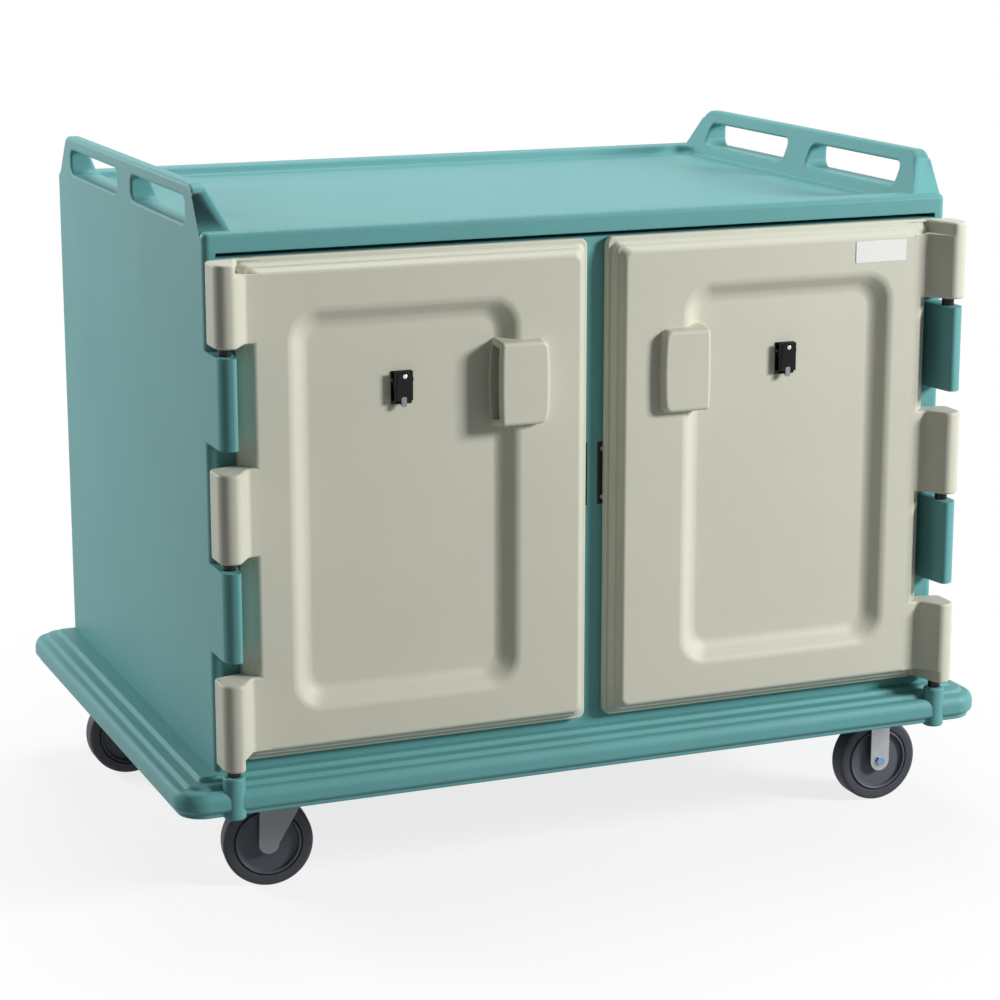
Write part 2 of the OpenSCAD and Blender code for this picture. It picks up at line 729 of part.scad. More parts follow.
// Lever: a front plate, two side cheeks with pivot holes and a jaw that meets the base
module clip_lever(s) cart() color(black) clip_place(s) difference() {
    union() {
        translate([-clip_w / 2, -floor_y - clip_t - clip_gap - clip_t, -lever_drop])
            cube([clip_w, clip_t, lever_drop + lever_rise]);
        for (x = [-clip_w / 2, clip_w / 2 - clip_t])
            translate([x, -clip_pin_y, 0]) {
                translate([0, -clip_gap / 2 - eps, -cheek_drop])
                    cube([clip_t, clip_gap / 2 + eps, cheek_drop + cheek_r]);
                rotate([0, 90, 0]) cylinder(r = cheek_r, h = clip_t);
            }
        translate([-tab_w / 2, -floor_y - clip_t - clip_gap - clip_t, -lever_drop - tab_drop])
            cube([tab_w, clip_t, tab_drop + eps]);
        translate([-clip_w / 2, -floor_y - clip_t - clip_gap - eps, -lever_drop])
            cube([clip_w, clip_gap + eps - jaw_gap, clip_t]);
    }
    translate([0, -clip_pin_y, 0]) rotate([0, 90, 0])
        cylinder(r = clip_pin_r + 0.05, h = clip_w + eps, center = true);
}
module left_clip_lever() { clip_lever(-1); }
module right_clip_lever() { clip_lever(1); }

// ---------- casters ----------

module unturned_front() { translate([-front_swivel_x, front_y, 0]) children(); }
module unturned_rear() { translate([-rear_swivel_x, rear_y, 0]) children(); }
module at_front_swivel() { unturned_front() rotate(front_yaw) children(); }
module at_rear_swivel() { unturned_rear() rotate(rear_yaw) children(); }
module at_front_rigid() { translate([rigid_x, front_y, 0]) children(); }
module at_rear_rigid() { translate([rigid_x, rear_y, 0]) children(); }

plate_corner = 8;
module mounting_plate() color(steel) difference() {
    translate([0, 0, plate_z]) linear_extrude(plate_t)
        round_rect(-plate_l / 2, -plate_w / 2, plate_l / 2, plate_w / 2, plate_corner);
    bolt_places() translate([0, 0, plate_z - eps]) cylinder(r = bolt_r, h = plate_t + 2 * eps);
}

module swivel_plate() color(steel) difference() {
    union() {
        mounting_plate();
        translate([0, 0, race_z + ball_r * 0.2]) cylinder(r = crown_r - 2, h = plate_z - race_z);
    }
    translate([0, 0, race_z]) rotate_extrude() translate([ball_ring_r, 0]) circle(ball_r + race_gap);
    translate([0, 0, race_z - eps]) cylinder(r = king_pin_r, h = caster_h - race_z + 2 * eps);
}

bolt_head_h = 5;
bolt_head_grow = 3;
module plate_bolts() color(steel) bolt_places() {
    translate([0, 0, plate_z]) cylinder(r = bolt_r, h = bolt_len);
    translate([0, 0, plate_z - bolt_head_h]) cylinder(r = bolt_r + bolt_head_grow, h = bolt_head_h, $fn = 6);
}

king_head_r = 13;
king_head_h = 5;
module king_pin() color(steel) {
    translate([0, 0, crown_z - seat_gap]) cylinder(r = king_pin_r, h = caster_h - crown_z + seat_gap);
    translate([0, 0, crown_z - seat_gap - king_head_h]) cylinder(r = king_head_r, h = king_head_h);
}

ball_count = 18;
module bearing_balls() color(steel) for (i = [0 : ball_count - 1])
    rotate(i * 360 / ball_count) translate([ball_ring_r, 0, race_z]) sphere(ball_r, $fn = 24);

// Fork leg seen from the side: wide at the crown, narrow and round at the axle
leg_foot_r = 13.5;
module swivel_leg_outline() {
    difference() {
        union() {
            polygon([
                [-trail - leg_foot_r, wheel_r], [-trail + leg_foot_r, wheel_r],
                [crown_chord, crown_z + eps], [-trail - leg_foot_r, crown_z + eps]
            ]);
            translate([-trail, wheel_r]) circle(leg_foot_r);
        }
        translate([-trail, wheel_r]) circle(axle_r);
    }
}

module swivel_fork() color(steel) {
    difference() {
        union() {
            translate([0, 0, crown_z]) cylinder(r = crown_r, h = crown_t);
            translate([-trail - leg_foot_r, -leg_y - fork_t, crown_z])
                cube([trail + leg_foot_r + crown_chord, 2 * (leg_y + fork_t), crown_t / 2]);
        }
        translate([0, 0, crown_z - eps]) cylinder(r = king_pin_r + pin_clearance, h = crown_t + 2 * eps);
        translate([0, 0, race_z]) rotate_extrude() translate([ball_ring_r, 0]) circle(ball_r + race_gap);
    }
    for (y = [leg_y, -leg_y - fork_t]) translate([0, y + fork_t, 0]) rotate([90, 0, 0])
        linear_extrude(fork_t) swivel_leg_outline();
}

module at_axle(offset) { translate([-offset, 0, wheel_r]) rotate([90, 0, 0]) children(); }

// Axle of a swivel caster: a rivet, flush with the legs
module rivet_axle(offset) color(steel) at_axle(offset)
    cylinder(r = axle_r, h = 2 * (leg_y + fork_t), center = true);

// Axle of a rigid caster: a bolt with its nut
axle_head_r = 8.5;
axle_head_h = 5;
module bolt_axle() color(steel) at_axle(0) {
    cylinder(r = axle_r, h = 2 * (leg_y + fork_t), center = true);
    translate([0, 0, leg_y + fork_t]) cylinder(r = axle_head_r, h = axle_head_h, $fn = 6);
    translate([0, 0, -leg_y - fork_t - axle_head_h]) cylinder(r = axle_head_r, h = axle_head_h, $fn = 6);
}

module bearing_sleeve(offset) color(steel) at_axle(offset) difference() {
    cylinder(r = sleeve_r, h = 2 * leg_y, center = true);
    cylinder(r = axle_r, h = 2 * leg_y + eps, center = true);
}

module wheel_core(offset) color(grey_core) at_axle(offset) difference() {
    union() {
        cylinder(r = core_r, h = tyre_w - 2 * web_inset, center = true);
        cylinder(r = hub_r, h = 2 * (leg_y - hub_gap), center = true);
    }
    cylinder(r = sleeve_r + pin_clearance, h = 2 * leg_y, center = true);
}

tyre_round = 5;
module tyre(offset) color(grey_tyre) at_axle(offset) rotate_extrude($fn = 96) difference() {
    union() {
        translate([core_r, -tyre_w / 2]) square([wheel_r - core_r - tyre_round, tyre_w]);
        translate([core_r, -tyre_w / 2 + tyre_round]) square([wheel_r - core_r, tyre_w - 2 * tyre_round]);
        for (y = [-1, 1]) translate([wheel_r - tyre_round, y * (tyre_w / 2 - tyre_round)]) circle(tyre_round);
    }
}

// Rigid caster: plate and two straight legs in one pressing
rigid_leg_w = 37;
module rigid_leg_outline() {
    difference() {
        union() {
            translate([-rigid_leg_w / 2, wheel_r]) square([rigid_leg_w, plate_z - wheel_r + eps]);
            translate([0, wheel_r]) circle(rigid_leg_w / 2);
        }
        translate([0, wheel_r]) circle(axle_r);
    }
}

module rigid_fork() color(steel) {
    mounting_plate();
    for (y = [leg_y, -leg_y - fork_t]) translate([0, y + fork_t, 0]) rotate([90, 0, 0])
        linear_extrude(fork_t) rigid_leg_outline();
}

module front_swivel_plate() cart() unturned_front() swivel_plate();
module front_swivel_bolts() cart() unturned_front() plate_bolts();
module front_king_pin() cart() unturned_front() king_pin();
module front_bearing_balls() cart() unturned_front() bearing_balls();
module front_swivel_fork() cart() at_front_swivel() swivel_fork();
module front_swivel_axle() cart() at_front_swivel() rivet_axle(trail);
module front_swivel_sleeve() cart() at_front_swivel() bearing_sleeve(trail);
module front_swivel_core() cart() at_front_swivel() wheel_core(trail);
module front_swivel_tyre() cart() at_front_swivel() tyre(trail);

module rear_swivel_plate() cart() unturned_rear() swivel_plate();
module rear_swivel_bolts() cart() unturned_rear() plate_bolts();
module rear_king_pin() cart() unturned_rear() king_pin();
module rear_bearing_balls() cart() unturned_rear() bearing_balls();
module rear_swivel_fork() cart() at_rear_swivel() swivel_fork();
module rear_swivel_axle() cart() at_rear_swivel() rivet_axle(trail);
module rear_swivel_sleeve() cart() at_rear_swivel() bearing_sleeve(trail);
module rear_swivel_core() cart() at_rear_swivel() wheel_core(trail);
module rear_swivel_tyre() cart() at_rear_swivel() tyre(trail);

module front_rigid_fork() cart() at_front_rigid() rigid_fork();
module front_rigid_bolts() cart() at_front_rigid() plate_bolts();
module front_rigid_axle() cart() at_front_rigid() bolt_axle();
module front_rigid_sleeve() cart() at_front_rigid() bearing_sleeve(0);
module front_rigid_core() cart() at_front_rigid() wheel_core(0);
module front_rigid_tyre() cart() at_front_rigid() tyre(0);

module rear_rigid_fork() cart() at_rear_rigid() rigid_fork();
module rear_rigid_bolts() cart() at_rear_rigid() plate_bolts();
module rear_rigid_axle() cart() at_rear_rigid() bolt_axle();
module rear_rigid_sleeve() cart() at_rear_rigid() bearing_sleeve(0);
module rear_rigid_core() cart() at_rear_rigid() wheel_core(0);
module rear_rigid_tyre() cart() at_rear_rigid() tyre(0);

cabinet_shell();
worktop();
left_end_handle();
right_end_handle();
bumper_deck();
left_bay_outer_rails();
left_bay_inner_rails();
right_bay_inner_rails();
right_bay_outer_rails();
left_hinge_pins();
right_hinge_pins();
left_magnet_catch();
right_magnet_catch();
catch_screws();
left_door_panel();
left_strike_plate();
left_clip_base();
left_clip_pin();
left_clip_spring();
left_clip_lever();
right_door_panel();
right_strike_plate();
right_clip_base();
right_clip_pin();
right_clip_spring();
right_clip_lever();
right_blank_plate();
front_swivel_plate();
front_swivel_bolts();
front_king_pin();
front_bearing_balls();
front_swivel_fork();
front_swivel_axle();
front_swivel_sleeve();
front_swivel_core();
front_swivel_tyre();
rear_swivel_plate();
rear_swivel_bolts();
rear_king_pin();
rear_bearing_balls();
rear_swivel_fork();
rear_swivel_axle();
rear_swivel_sleeve();
rear_swivel_core();
rear_swivel_tyre();
front_rigid_fork();
front_rigid_bolts();
front_rigid_axle();
front_rigid_sleeve();
front_rigid_core();
front_rigid_tyre();
rear_rigid_fork();
rear_rigid_bolts();
rear_rigid_axle();
rear_rigid_sleeve();
rear_rigid_core();
rear_rigid_tyre();
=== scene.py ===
# %% [markdown]
# # Enclosed meal tray cart
# The cart is moulded from polyethylene in two colours and rolls on four steel casters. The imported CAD
# model is loaded first, as a frame that never moves. Every piece modelled below stands on it, takes its
# size from it and rides on one of its bodies, so that doors, clips, forks and wheels still turn.

# %% Load the frame
import json
import math

import bmesh
import bpy
from mathutils import Matrix, Vector

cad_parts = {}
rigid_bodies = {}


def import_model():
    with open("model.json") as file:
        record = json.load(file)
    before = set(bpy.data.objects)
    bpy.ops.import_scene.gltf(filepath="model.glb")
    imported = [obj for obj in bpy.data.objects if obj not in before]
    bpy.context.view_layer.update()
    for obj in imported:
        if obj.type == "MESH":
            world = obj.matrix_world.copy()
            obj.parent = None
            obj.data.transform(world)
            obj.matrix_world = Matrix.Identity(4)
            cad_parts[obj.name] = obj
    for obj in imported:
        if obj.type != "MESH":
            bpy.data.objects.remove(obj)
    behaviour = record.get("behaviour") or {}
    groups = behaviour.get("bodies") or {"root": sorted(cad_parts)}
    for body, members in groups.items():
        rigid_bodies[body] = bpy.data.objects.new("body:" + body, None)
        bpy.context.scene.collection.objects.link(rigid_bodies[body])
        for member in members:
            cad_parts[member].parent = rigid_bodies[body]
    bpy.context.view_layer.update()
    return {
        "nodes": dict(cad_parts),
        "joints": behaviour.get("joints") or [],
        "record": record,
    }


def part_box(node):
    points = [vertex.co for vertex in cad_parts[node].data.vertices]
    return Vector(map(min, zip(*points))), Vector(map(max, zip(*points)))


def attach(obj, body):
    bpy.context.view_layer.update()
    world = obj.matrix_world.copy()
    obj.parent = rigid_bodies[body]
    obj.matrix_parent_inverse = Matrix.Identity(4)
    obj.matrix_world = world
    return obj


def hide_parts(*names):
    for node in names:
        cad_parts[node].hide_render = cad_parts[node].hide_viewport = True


for leftover in list(bpy.data.objects):
    bpy.data.objects.remove(leftover)
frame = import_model()
nodes = frame["nodes"]

# %% [markdown]
# ## Measures
# Lengths below are in millimetres, as a maker would write them, and `place` turns them into Blender's
# metres. Places along Y are counted backwards from the cabinet's front. They could be typed in from the
# CAD source, but then they would go stale. So the large ones are read off the frame. The front is that
# of the magnetic catch, which is let in flush with it.

# %% Measures
MM = 0.001
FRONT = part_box("left_magnet_catch")[0].y
shell_low, shell_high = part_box("cabinet_shell")
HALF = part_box("worktop")[1].x / MM
DECK_TOP = shell_low.z / MM
CABINET_TOP = shell_high.z / MM
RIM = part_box("worktop")[1].z / MM
DEPTH = (shell_high.y - FRONT) / MM
SIDES = ("left", "right")


def place(x, y, z):
    return Vector((x * MM, FRONT + y * MM, z * MM))


print("half width %.0f, depth %.0f, deck top %.0f, rim %.0f" % (HALF, DEPTH, DECK_TOP, RIM))

# %% [markdown]
# ## Helpers for moulded shapes
# A rotationally moulded part has no sharp edge anywhere, because the powder melts round the inside of
# its tool. A block with a Bevel modifier would round every edge alike. Most pieces here are therefore
# built as a row of outlines with round corners. Each outline is a plain polygon whose corners a vertex
# bevel rounds. The rim is extruded from one outline to the next, the end is filled, and each rim is then
# bevelled with its own radius.

# %% Outlines and mouldings
ARC = 8


def outline(points, cuts):
    flat = bmesh.new()
    corners = [flat.verts.new(p) for p in points]
    flat.faces.new(corners)
    for corner, cut in zip(corners, cuts):
        if cut:
            bmesh.ops.bevel(flat, geom=[corner], offset=cut * MM, segments=ARC, profile=0.5,
                            affect="VERTICES", material=-1, clamp_overlap=False)
    flat.faces.ensure_lookup_table()
    rounded = [v.co.copy() for v in flat.faces[0].verts]
    flat.free()
    return rounded


def soften(bm, edges, radius, segments=4, clamp=True):
    bmesh.ops.bevel(bm, geom=edges, offset=radius * MM, segments=segments, profile=0.5,
                    affect="EDGES", material=-1, clamp_overlap=clamp)


def rim_of(bm, ring):
    return [bm.edges.get(pair) for pair in zip(ring, ring[1:] + ring[:1])]


def next_ring(ring, before):
    return [next(e.other_vert(v) for e in v.link_edges if e.other_vert(v) not in before) for v in ring]


def moulding(levels, radii, keep=lambda edge: True):
    bm = bmesh.new()
    ring = [bm.verts.new(p) for p in outline(*levels[0])]
    bm.faces.new(ring)
    rims = [rim_of(bm, ring)]
    for level in levels[1:]:
        before = set(bm.verts)
        bmesh.ops.extrude_edge_only(bm, edges=rims[-1])
        ring = next_ring(ring, before)
        for vertex, position in zip(ring, outline(*level)):
            vertex.co = position
        rims.append(rim_of(bm, ring))
    bmesh.ops.edgeloop_fill(bm, edges=rims[-1])
    bmesh.ops.recalc_face_normals(bm, faces=bm.faces)
    for rim, radius in zip(rims, radii):
        if radius:
            soften(bm, [e for e in rim if keep(e)], radius)
    return bm


print("helpers ready, %d segments to a corner" % ARC)


# %% Outlines that come back often
def upright_rect(x0, z0, x1, z1, y, cut):
    points = [place(x0, y, z0), place(x1, y, z0), place(x1, y, z1), place(x0, y, z1)]
    return points, [cut] * 4


def flat_rect(x0, y0, x1, y1, z, cut):
    points = [place(x0, y0, z), place(x1, y0, z), place(x1, y1, z), place(x0, y1, z)]
    return points, [cut] * 4


def side_rect(x, y0, y1, z0, z1, slope, cuts):
    points = [place(x, y0, z0), place(x, y1, z0), place(x, y1 - slope, z1), place(x, y0 + slope, z1)]
    return points, cuts


def plan(corners, cuts, z):
    return [place(x, y, z) for x, y in corners], cuts


sample = outline(*flat_rect(-10, -10, 10, 10, 0, 4))
print("a square with round corners has", len(sample), "points")

# %% [markdown]
# Simple CAD solids could be modelled again, but their shape is already right and only their edges need
# breaking. `softened` copies a node's mesh, merges its loose triangles, dissolves the flat ones into
# whole faces and bevels every sharp edge that is left.

# %% Copies of CAD nodes with soft edges
SAME_POINT, SAME_PLANE, SHARP_EDGE = 0.005, 0.8, 28


def sharp_edges(bm, degrees):
    return [e for e in bm.edges if e.is_manifold and e.calc_face_angle(0) > math.radians(degrees)]


def softened(name, radius, segments=2):
    bm = bmesh.new()
    bm.from_mesh(nodes[name].data)
    bmesh.ops.remove_doubles(bm, verts=bm.verts, dist=SAME_POINT * MM)
    bmesh.ops.dissolve_limit(bm, angle_limit=math.radians(SAME_PLANE), verts=bm.verts, edges=bm.edges)
    soften(bm, sharp_edges(bm, SHARP_EDGE), radius, segments)
    return bm


sample = softened("left_clip_base", 0.5)
print("a softened clip base has", len(sample.faces), "faces")
sample.free()

# %% [markdown]
# A finished shape becomes an object with its finish and its body. Shading could be smooth all
# over, but then large flat walls would look swollen. Weighted normals keep them flat up to their bevels.
# The left side mirrors the right, so each such piece is modelled once, on the right.

# %% From a shape to a piece
SHADE_SHARP = 35


def joined(parts):
    whole = bmesh.new()
    for part in parts:
        mesh = bpy.data.meshes.new("part")
        part.to_mesh(mesh)
        part.free()
        whole.from_mesh(mesh)
        bpy.data.meshes.remove(mesh)
    return whole


def sided(bm, side):
    if side == "left":
        bmesh.ops.scale(bm, vec=(-1, 1, 1), verts=bm.verts)
        bmesh.ops.reverse_faces(bm, faces=bm.faces)
    return bm


def made_object(bm, name):
    mesh = bpy.data.meshes.new(name)
    bm.to_mesh(mesh)
    bm.free()
    obj = bpy.data.objects.new(name, mesh)
    bpy.context.scene.collection.objects.link(obj)
    return obj


def piece(bm, name, material, body, replaces):
    obj = made_object(bm, name)
    obj.data.shade_smooth()
    obj.data.set_sharp_from_angle(angle=math.radians(SHADE_SHARP))
    obj.data.materials.append(material)
    weighted = obj.modifiers.new("even shading", "WEIGHTED_NORMAL")
    weighted.keep_sharp = True
    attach(obj, body)
    if replaces:
        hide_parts(*replaces)
    print("%s: %d faces" % (name, len(obj.data.polygons)))


print("edges over", SHADE_SHARP, "degrees stay sharp in shading")

# %% [markdown]
# ## Finishes
# Both plastics have the same skin: a fine pebbled grain from the tool, a faint cloudiness where the
# pigment settled, and a slow waviness of the walls. An image would stretch over parts of this size. Noise
# on Object coordinates stays at its real scale, so one node group makes all three from it, and each
# material sets its own values.

# %% The moulded skin group
SPECK_SHARE, GRAIN_HEIGHT = 0.45, 0.10
SMOOTHEST, ROUGH_SPAN = 0.40, 0.16


def moulded_skin_group():
    tree = bpy.data.node_groups.new("Moulded skin", "ShaderNodeTree")
    face = tree.interface
    for title, kind, value in (("Colour", "NodeSocketColor", (0.5, 0.5, 0.5, 1)),
                               ("Cloudiness", "NodeSocketFloat", 0.08),
                               ("Grain size", "NodeSocketFloat", 420.0),
                               ("Waviness", "NodeSocketFloat", 0.35)):
        face.new_socket(title, in_out="INPUT", socket_type=kind).default_value = value
    face.new_socket("Colour", in_out="OUTPUT", socket_type="NodeSocketColor")
    face.new_socket("Roughness", in_out="OUTPUT", socket_type="NodeSocketFloat")
    face.new_socket("Height", in_out="OUTPUT", socket_type="NodeSocketFloat")
    new, link = tree.nodes.new, tree.links.new
    ins, outs = new("NodeGroupInput"), new("NodeGroupOutput")
    where = new("ShaderNodeTexCoord")

    def noise(scale, detail, roughness=0.5):
        node = new("ShaderNodeTexNoise")
        node.inputs["Scale"].default_value = scale
        node.inputs["Detail"].default_value = detail
        node.inputs["Roughness"].default_value = roughness
        link(where.outputs["Object"], node.inputs["Vector"])
        return node

    def maths(kind, a, b):
        node = new("ShaderNodeMath")
        node.operation = kind
        for socket, value in zip(node.inputs, (a, b)):
            if isinstance(value, (int, float)):
                socket.default_value = value
            else:
                link(value, socket)
        return node.outputs[0]

    cloud = noise(scale=5.0, detail=5.0, roughness=0.6)
    speck = noise(scale=180.0, detail=2.0)
    grain = noise(scale=420.0, detail=2.0)
    link(ins.outputs["Grain size"], grain.inputs["Scale"])
    wave = noise(scale=7.0, detail=1.0)
    both = maths("ADD", maths("SUBTRACT", cloud.outputs[0], 0.5),
                 maths("MULTIPLY", maths("SUBTRACT", speck.outputs[0], 0.5), SPECK_SHARE))
    depth = maths("MULTIPLY", ins.outputs["Cloudiness"], 2.0)
    factor = maths("ADD", 1.0, maths("MULTIPLY", both, depth))
    scale = new("ShaderNodeVectorMath")
    scale.operation = "SCALE"
    link(ins.outputs["Colour"], scale.inputs[0])
    link(factor, scale.inputs["Scale"])
    link(scale.outputs[0], outs.inputs["Colour"])
    link(maths("ADD", SMOOTHEST, maths("MULTIPLY", grain.outputs[0], ROUGH_SPAN)),
         outs.inputs["Roughness"])
    relief = maths("ADD", maths("MULTIPLY", grain.outputs[0], GRAIN_HEIGHT),
                   maths("MULTIPLY", wave.outputs[0], ins.outputs["Waviness"]))
    link(relief, outs.inputs["Height"])
    return tree


skin_group = moulded_skin_group()
print("skin group has", len(skin_group.nodes), "nodes")

# %% [markdown]
# The shell is teal, the doors are cream, and the tray rails and wheel cores are other plastics with the
# same kind of skin. Their colours could be mixed by eye, but sRGB values say what plain even light
# shows. The teal skin shines least, as it does in the photograph.

# %% Plastics
PEBBLE_STRENGTH, PEBBLE_DISTANCE = 0.55, 0.0016


def srgb(r, g, b):
    def linear(v):
        v /= 255
        return v / 12.92 if v <= 0.04045 else ((v + 0.055) / 1.055) ** 2.4

    return (linear(r), linear(g), linear(b), 1)


def blank(name):
    material = bpy.data.materials.new(name)
    material.use_nodes = True
    return material, material.node_tree, material.node_tree.nodes["Principled BSDF"]


def relief(tree, shader, height, strength, distance):
    bump = tree.nodes.new("ShaderNodeBump")
    bump.inputs["Strength"].default_value = strength
    bump.inputs["Distance"].default_value = distance
    tree.links.new(height, bump.inputs["Height"])
    tree.links.new(bump.outputs[0], shader.inputs["Normal"])


def moulded_plastic(name, colour, cloudiness, grain, waviness, gloss=0.3):
    material, tree, shader = blank(name)
    skin = tree.nodes.new("ShaderNodeGroup")
    skin.node_tree = skin_group
    for title, value in (("Colour", colour), ("Cloudiness", cloudiness), ("Grain size", grain),
                         ("Waviness", waviness)):
        skin.inputs[title].default_value = value
    tree.links.new(skin.outputs["Colour"], shader.inputs["Base Color"])
    tree.links.new(skin.outputs["Roughness"], shader.inputs["Roughness"])
    relief(tree, shader, skin.outputs["Height"], PEBBLE_STRENGTH, PEBBLE_DISTANCE)
    shader.inputs["Specular IOR Level"].default_value = gloss
    return material


teal = moulded_plastic("teal polyethylene", srgb(100, 160, 161), 0.10, 420, 0.5, gloss=0.2)
cream = moulded_plastic("cream polyethylene", srgb(203, 203, 187), 0.045, 420, 0.35)
rail_white = moulded_plastic("rail plastic", srgb(190, 188, 178), 0.03, 520, 0.15)
wheel_grey = moulded_plastic("wheel core plastic", srgb(82, 87, 96), 0.10, 500, 0.1)
print("plastics ready")

# %% [markdown]
# ## Metals, rubber and lacquer
# Bright zinc shows soft cloudy patches, grey paint has a little orange peel, the tread is matt and
# dusty, and the clips and pins are black with fine handling marks. Each could be one flat value, but no
# such surface is even. So one noise moves both its roughness and its tone a little.

# %% Metals and blacks
PEEL_STRENGTH = 0.5


def ranged(tree, value, low, high):
    node = tree.nodes.new("ShaderNodeMapRange")
    node.inputs["To Min"].default_value = low
    node.inputs["To Max"].default_value = high
    tree.links.new(value, node.inputs["Value"])
    return node


def surfaced(name, colour, metallic, rough, scale, height=0.0, tint=0.1, gloss=0.5):
    material, tree, shader = blank(name)
    where = tree.nodes.new("ShaderNodeTexCoord")
    noise = tree.nodes.new("ShaderNodeTexNoise")
    noise.inputs["Scale"].default_value = scale
    noise.inputs["Detail"].default_value = 4
    tree.links.new(where.outputs["Object"], noise.inputs["Vector"])
    tree.links.new(ranged(tree, noise.outputs[0], *rough).outputs[0], shader.inputs["Roughness"])
    shades = tree.nodes.new("ShaderNodeMix")
    shades.data_type = "RGBA"
    shades.inputs[6].default_value = tuple(c * (1 - tint) for c in colour[:3]) + (1,)
    shades.inputs[7].default_value = tuple(min(1, c * (1 + tint)) for c in colour[:3]) + (1,)
    tree.links.new(noise.outputs[0], shades.inputs[0])
    tree.links.new(shades.outputs[2], shader.inputs["Base Color"])
    shader.inputs["Metallic"].default_value = metallic
    shader.inputs["Specular IOR Level"].default_value = gloss
    if height:
        relief(tree, shader, noise.outputs[0], PEEL_STRENGTH, height)
    return material


zinc = surfaced("bright zinc", srgb(190, 196, 200), 1.0, (0.22, 0.42), 60, tint=0.12)
grey_paint = surfaced("grey caster paint", srgb(132, 136, 138), 0.3, (0.4, 0.55), 90, 0.0004)
satin_zinc = surfaced("satin zinc", srgb(168, 172, 174), 0.7, (0.35, 0.5), 70, tint=0.12)
blue_zinc = surfaced("blue zinc", srgb(126, 152, 196), 0.6, (0.25, 0.4), 120)
chrome = surfaced("bright steel", srgb(214, 216, 218), 1.0, (0.08, 0.2), 120, tint=0.05)
tread = surfaced("grey tread", srgb(50, 53, 60), 0.0, (0.55, 0.75), 140, 0.0005, tint=0.15)
gloss_black = surfaced("black gloss", srgb(14, 15, 14), 0.0, (0.1, 0.25), 80, gloss=0.22)
satin_black = surfaced("black nylon", srgb(18, 18, 18), 0.0, (0.3, 0.5), 120, 0.0002, gloss=0.25)
plate_white = surfaced("plate white", srgb(232, 232, 230), 0.0, (0.25, 0.4), 200, tint=0.02)
print("materials", len(bpy.data.materials))

# %% [markdown]
# ## Doors
# A door is one hollow moulding: a thin flange that closes on the cabinet, a raised panel with drafted
# sides that have a narrow ledge halfway, and a recessed field with wide round corners. The field could
# be cut out with a Boolean, but its wide soft edge needs a clean rim to bevel. So eight outlines, from
# the flat back to the floor of the field, give the whole leaf, and each edge has its own radius. The
# hinge side stays unrounded behind the face, because the knuckles grow out of it.

# %% Door leaf
FLANGE_LOW, FLANGE_TOP = DECK_TOP + 19, CABINET_TOP - 8
FREE_EDGE, HINGE_EDGE = 18, HALF - 45
BACK_Y, FLANGE_Y, FACE_Y, FLOOR_Y = -2, -16, -42, -20
FACE_LOW, FACE_TOP = FLANGE_LOW + 22, FLANGE_TOP - 22
FIELD_LEFT, FIELD_RIGHT, FIELD_LOW, FIELD_TOP, DRAFT = 151, 533, 349, FLANGE_TOP - 84, 24


def door_leaf():
    outlines_and_radii = [
        (upright_rect(FREE_EDGE, FLANGE_LOW, HINGE_EDGE, FLANGE_TOP, BACK_Y, 12), 2),
        (upright_rect(FREE_EDGE, FLANGE_LOW, HINGE_EDGE, FLANGE_TOP, FLANGE_Y, 12), 3),
        (upright_rect(FREE_EDGE + 7, FLANGE_LOW + 7, HINGE_EDGE - 1, FLANGE_TOP - 7, FLANGE_Y, 12), 2),
        (upright_rect(FREE_EDGE + 11, FACE_LOW - 11, HINGE_EDGE - 9, FACE_TOP + 11, FACE_Y + 13, 13),
         1.6),
        (upright_rect(FREE_EDGE + 15, FACE_LOW - 7, HINGE_EDGE - 13, FACE_TOP + 7, FACE_Y + 11, 13),
         1.6),
        (upright_rect(FREE_EDGE + 22, FACE_LOW, HINGE_EDGE - 23, FACE_TOP, FACE_Y, 14), 4),
        (upright_rect(FIELD_LEFT, FIELD_LOW, FIELD_RIGHT, FIELD_TOP, FACE_Y, 46), 8),
        (upright_rect(FIELD_LEFT + DRAFT, FIELD_LOW + DRAFT, FIELD_RIGHT - DRAFT, FIELD_TOP - DRAFT,
                      FLOOR_Y, 34), 11),
    ]
    hinge_side, face = place(HINGE_EDGE - 6, 0, 0).x, place(0, FACE_Y + 1, 0).y

    def keep(edge):
        middle = (edge.verts[0].co + edge.verts[1].co) / 2
        return middle.x < hinge_side or middle.y < face

    return moulding(*zip(*outlines_and_radii), keep)


leaf = door_leaf()
print("door leaf has", len(leaf.faces), "faces")
leaf.free()

# %% [markdown]
# The pull is a hollow block that bridges the field and the face beside it. Its sides have draft, both
# upright edges bulge a little, and fingers go in behind it from the field. A dark box could stand in for
# the pocket, but it would show as soon as the door opens. So the pocket is opened by insetting the
# block's inner side as one region and pushing that region in.

# %% Door pull
PULL_OUT, PULL_IN, PULL_LOW, PULL_TOP, PULL_Y = 100, 190, 784, 929, -61
PULL_MIDDLE, PULL_DRAFT, PULL_WALL, POCKET_DEPTH = (PULL_LOW + PULL_TOP) / 2, 5, 5, 56


def pull_level(y, x0, x1, shrink, bulges):
    z0, z1 = PULL_LOW + shrink, PULL_TOP - shrink
    corners = [(x0, z0), (x1, z0), (x1 + bulges[1], PULL_MIDDLE), (x1, z1), (x0, z1),
               (x0 - bulges[0], PULL_MIDDLE)]
    return [place(x, y, z) for x, z in corners], (12, 6, 55, 6, 12, 55)


def inner_side(bm):
    middle, front = place(0, 0, PULL_MIDDLE).z, place(0, PULL_Y + 8, 0).y
    return [f for f in bm.faces if f.normal.x > 0.8 and f.calc_area() > 60 * MM * MM
            and abs(f.calc_center_median().z - middle) < 68 * MM and f.calc_center_median().y > front]


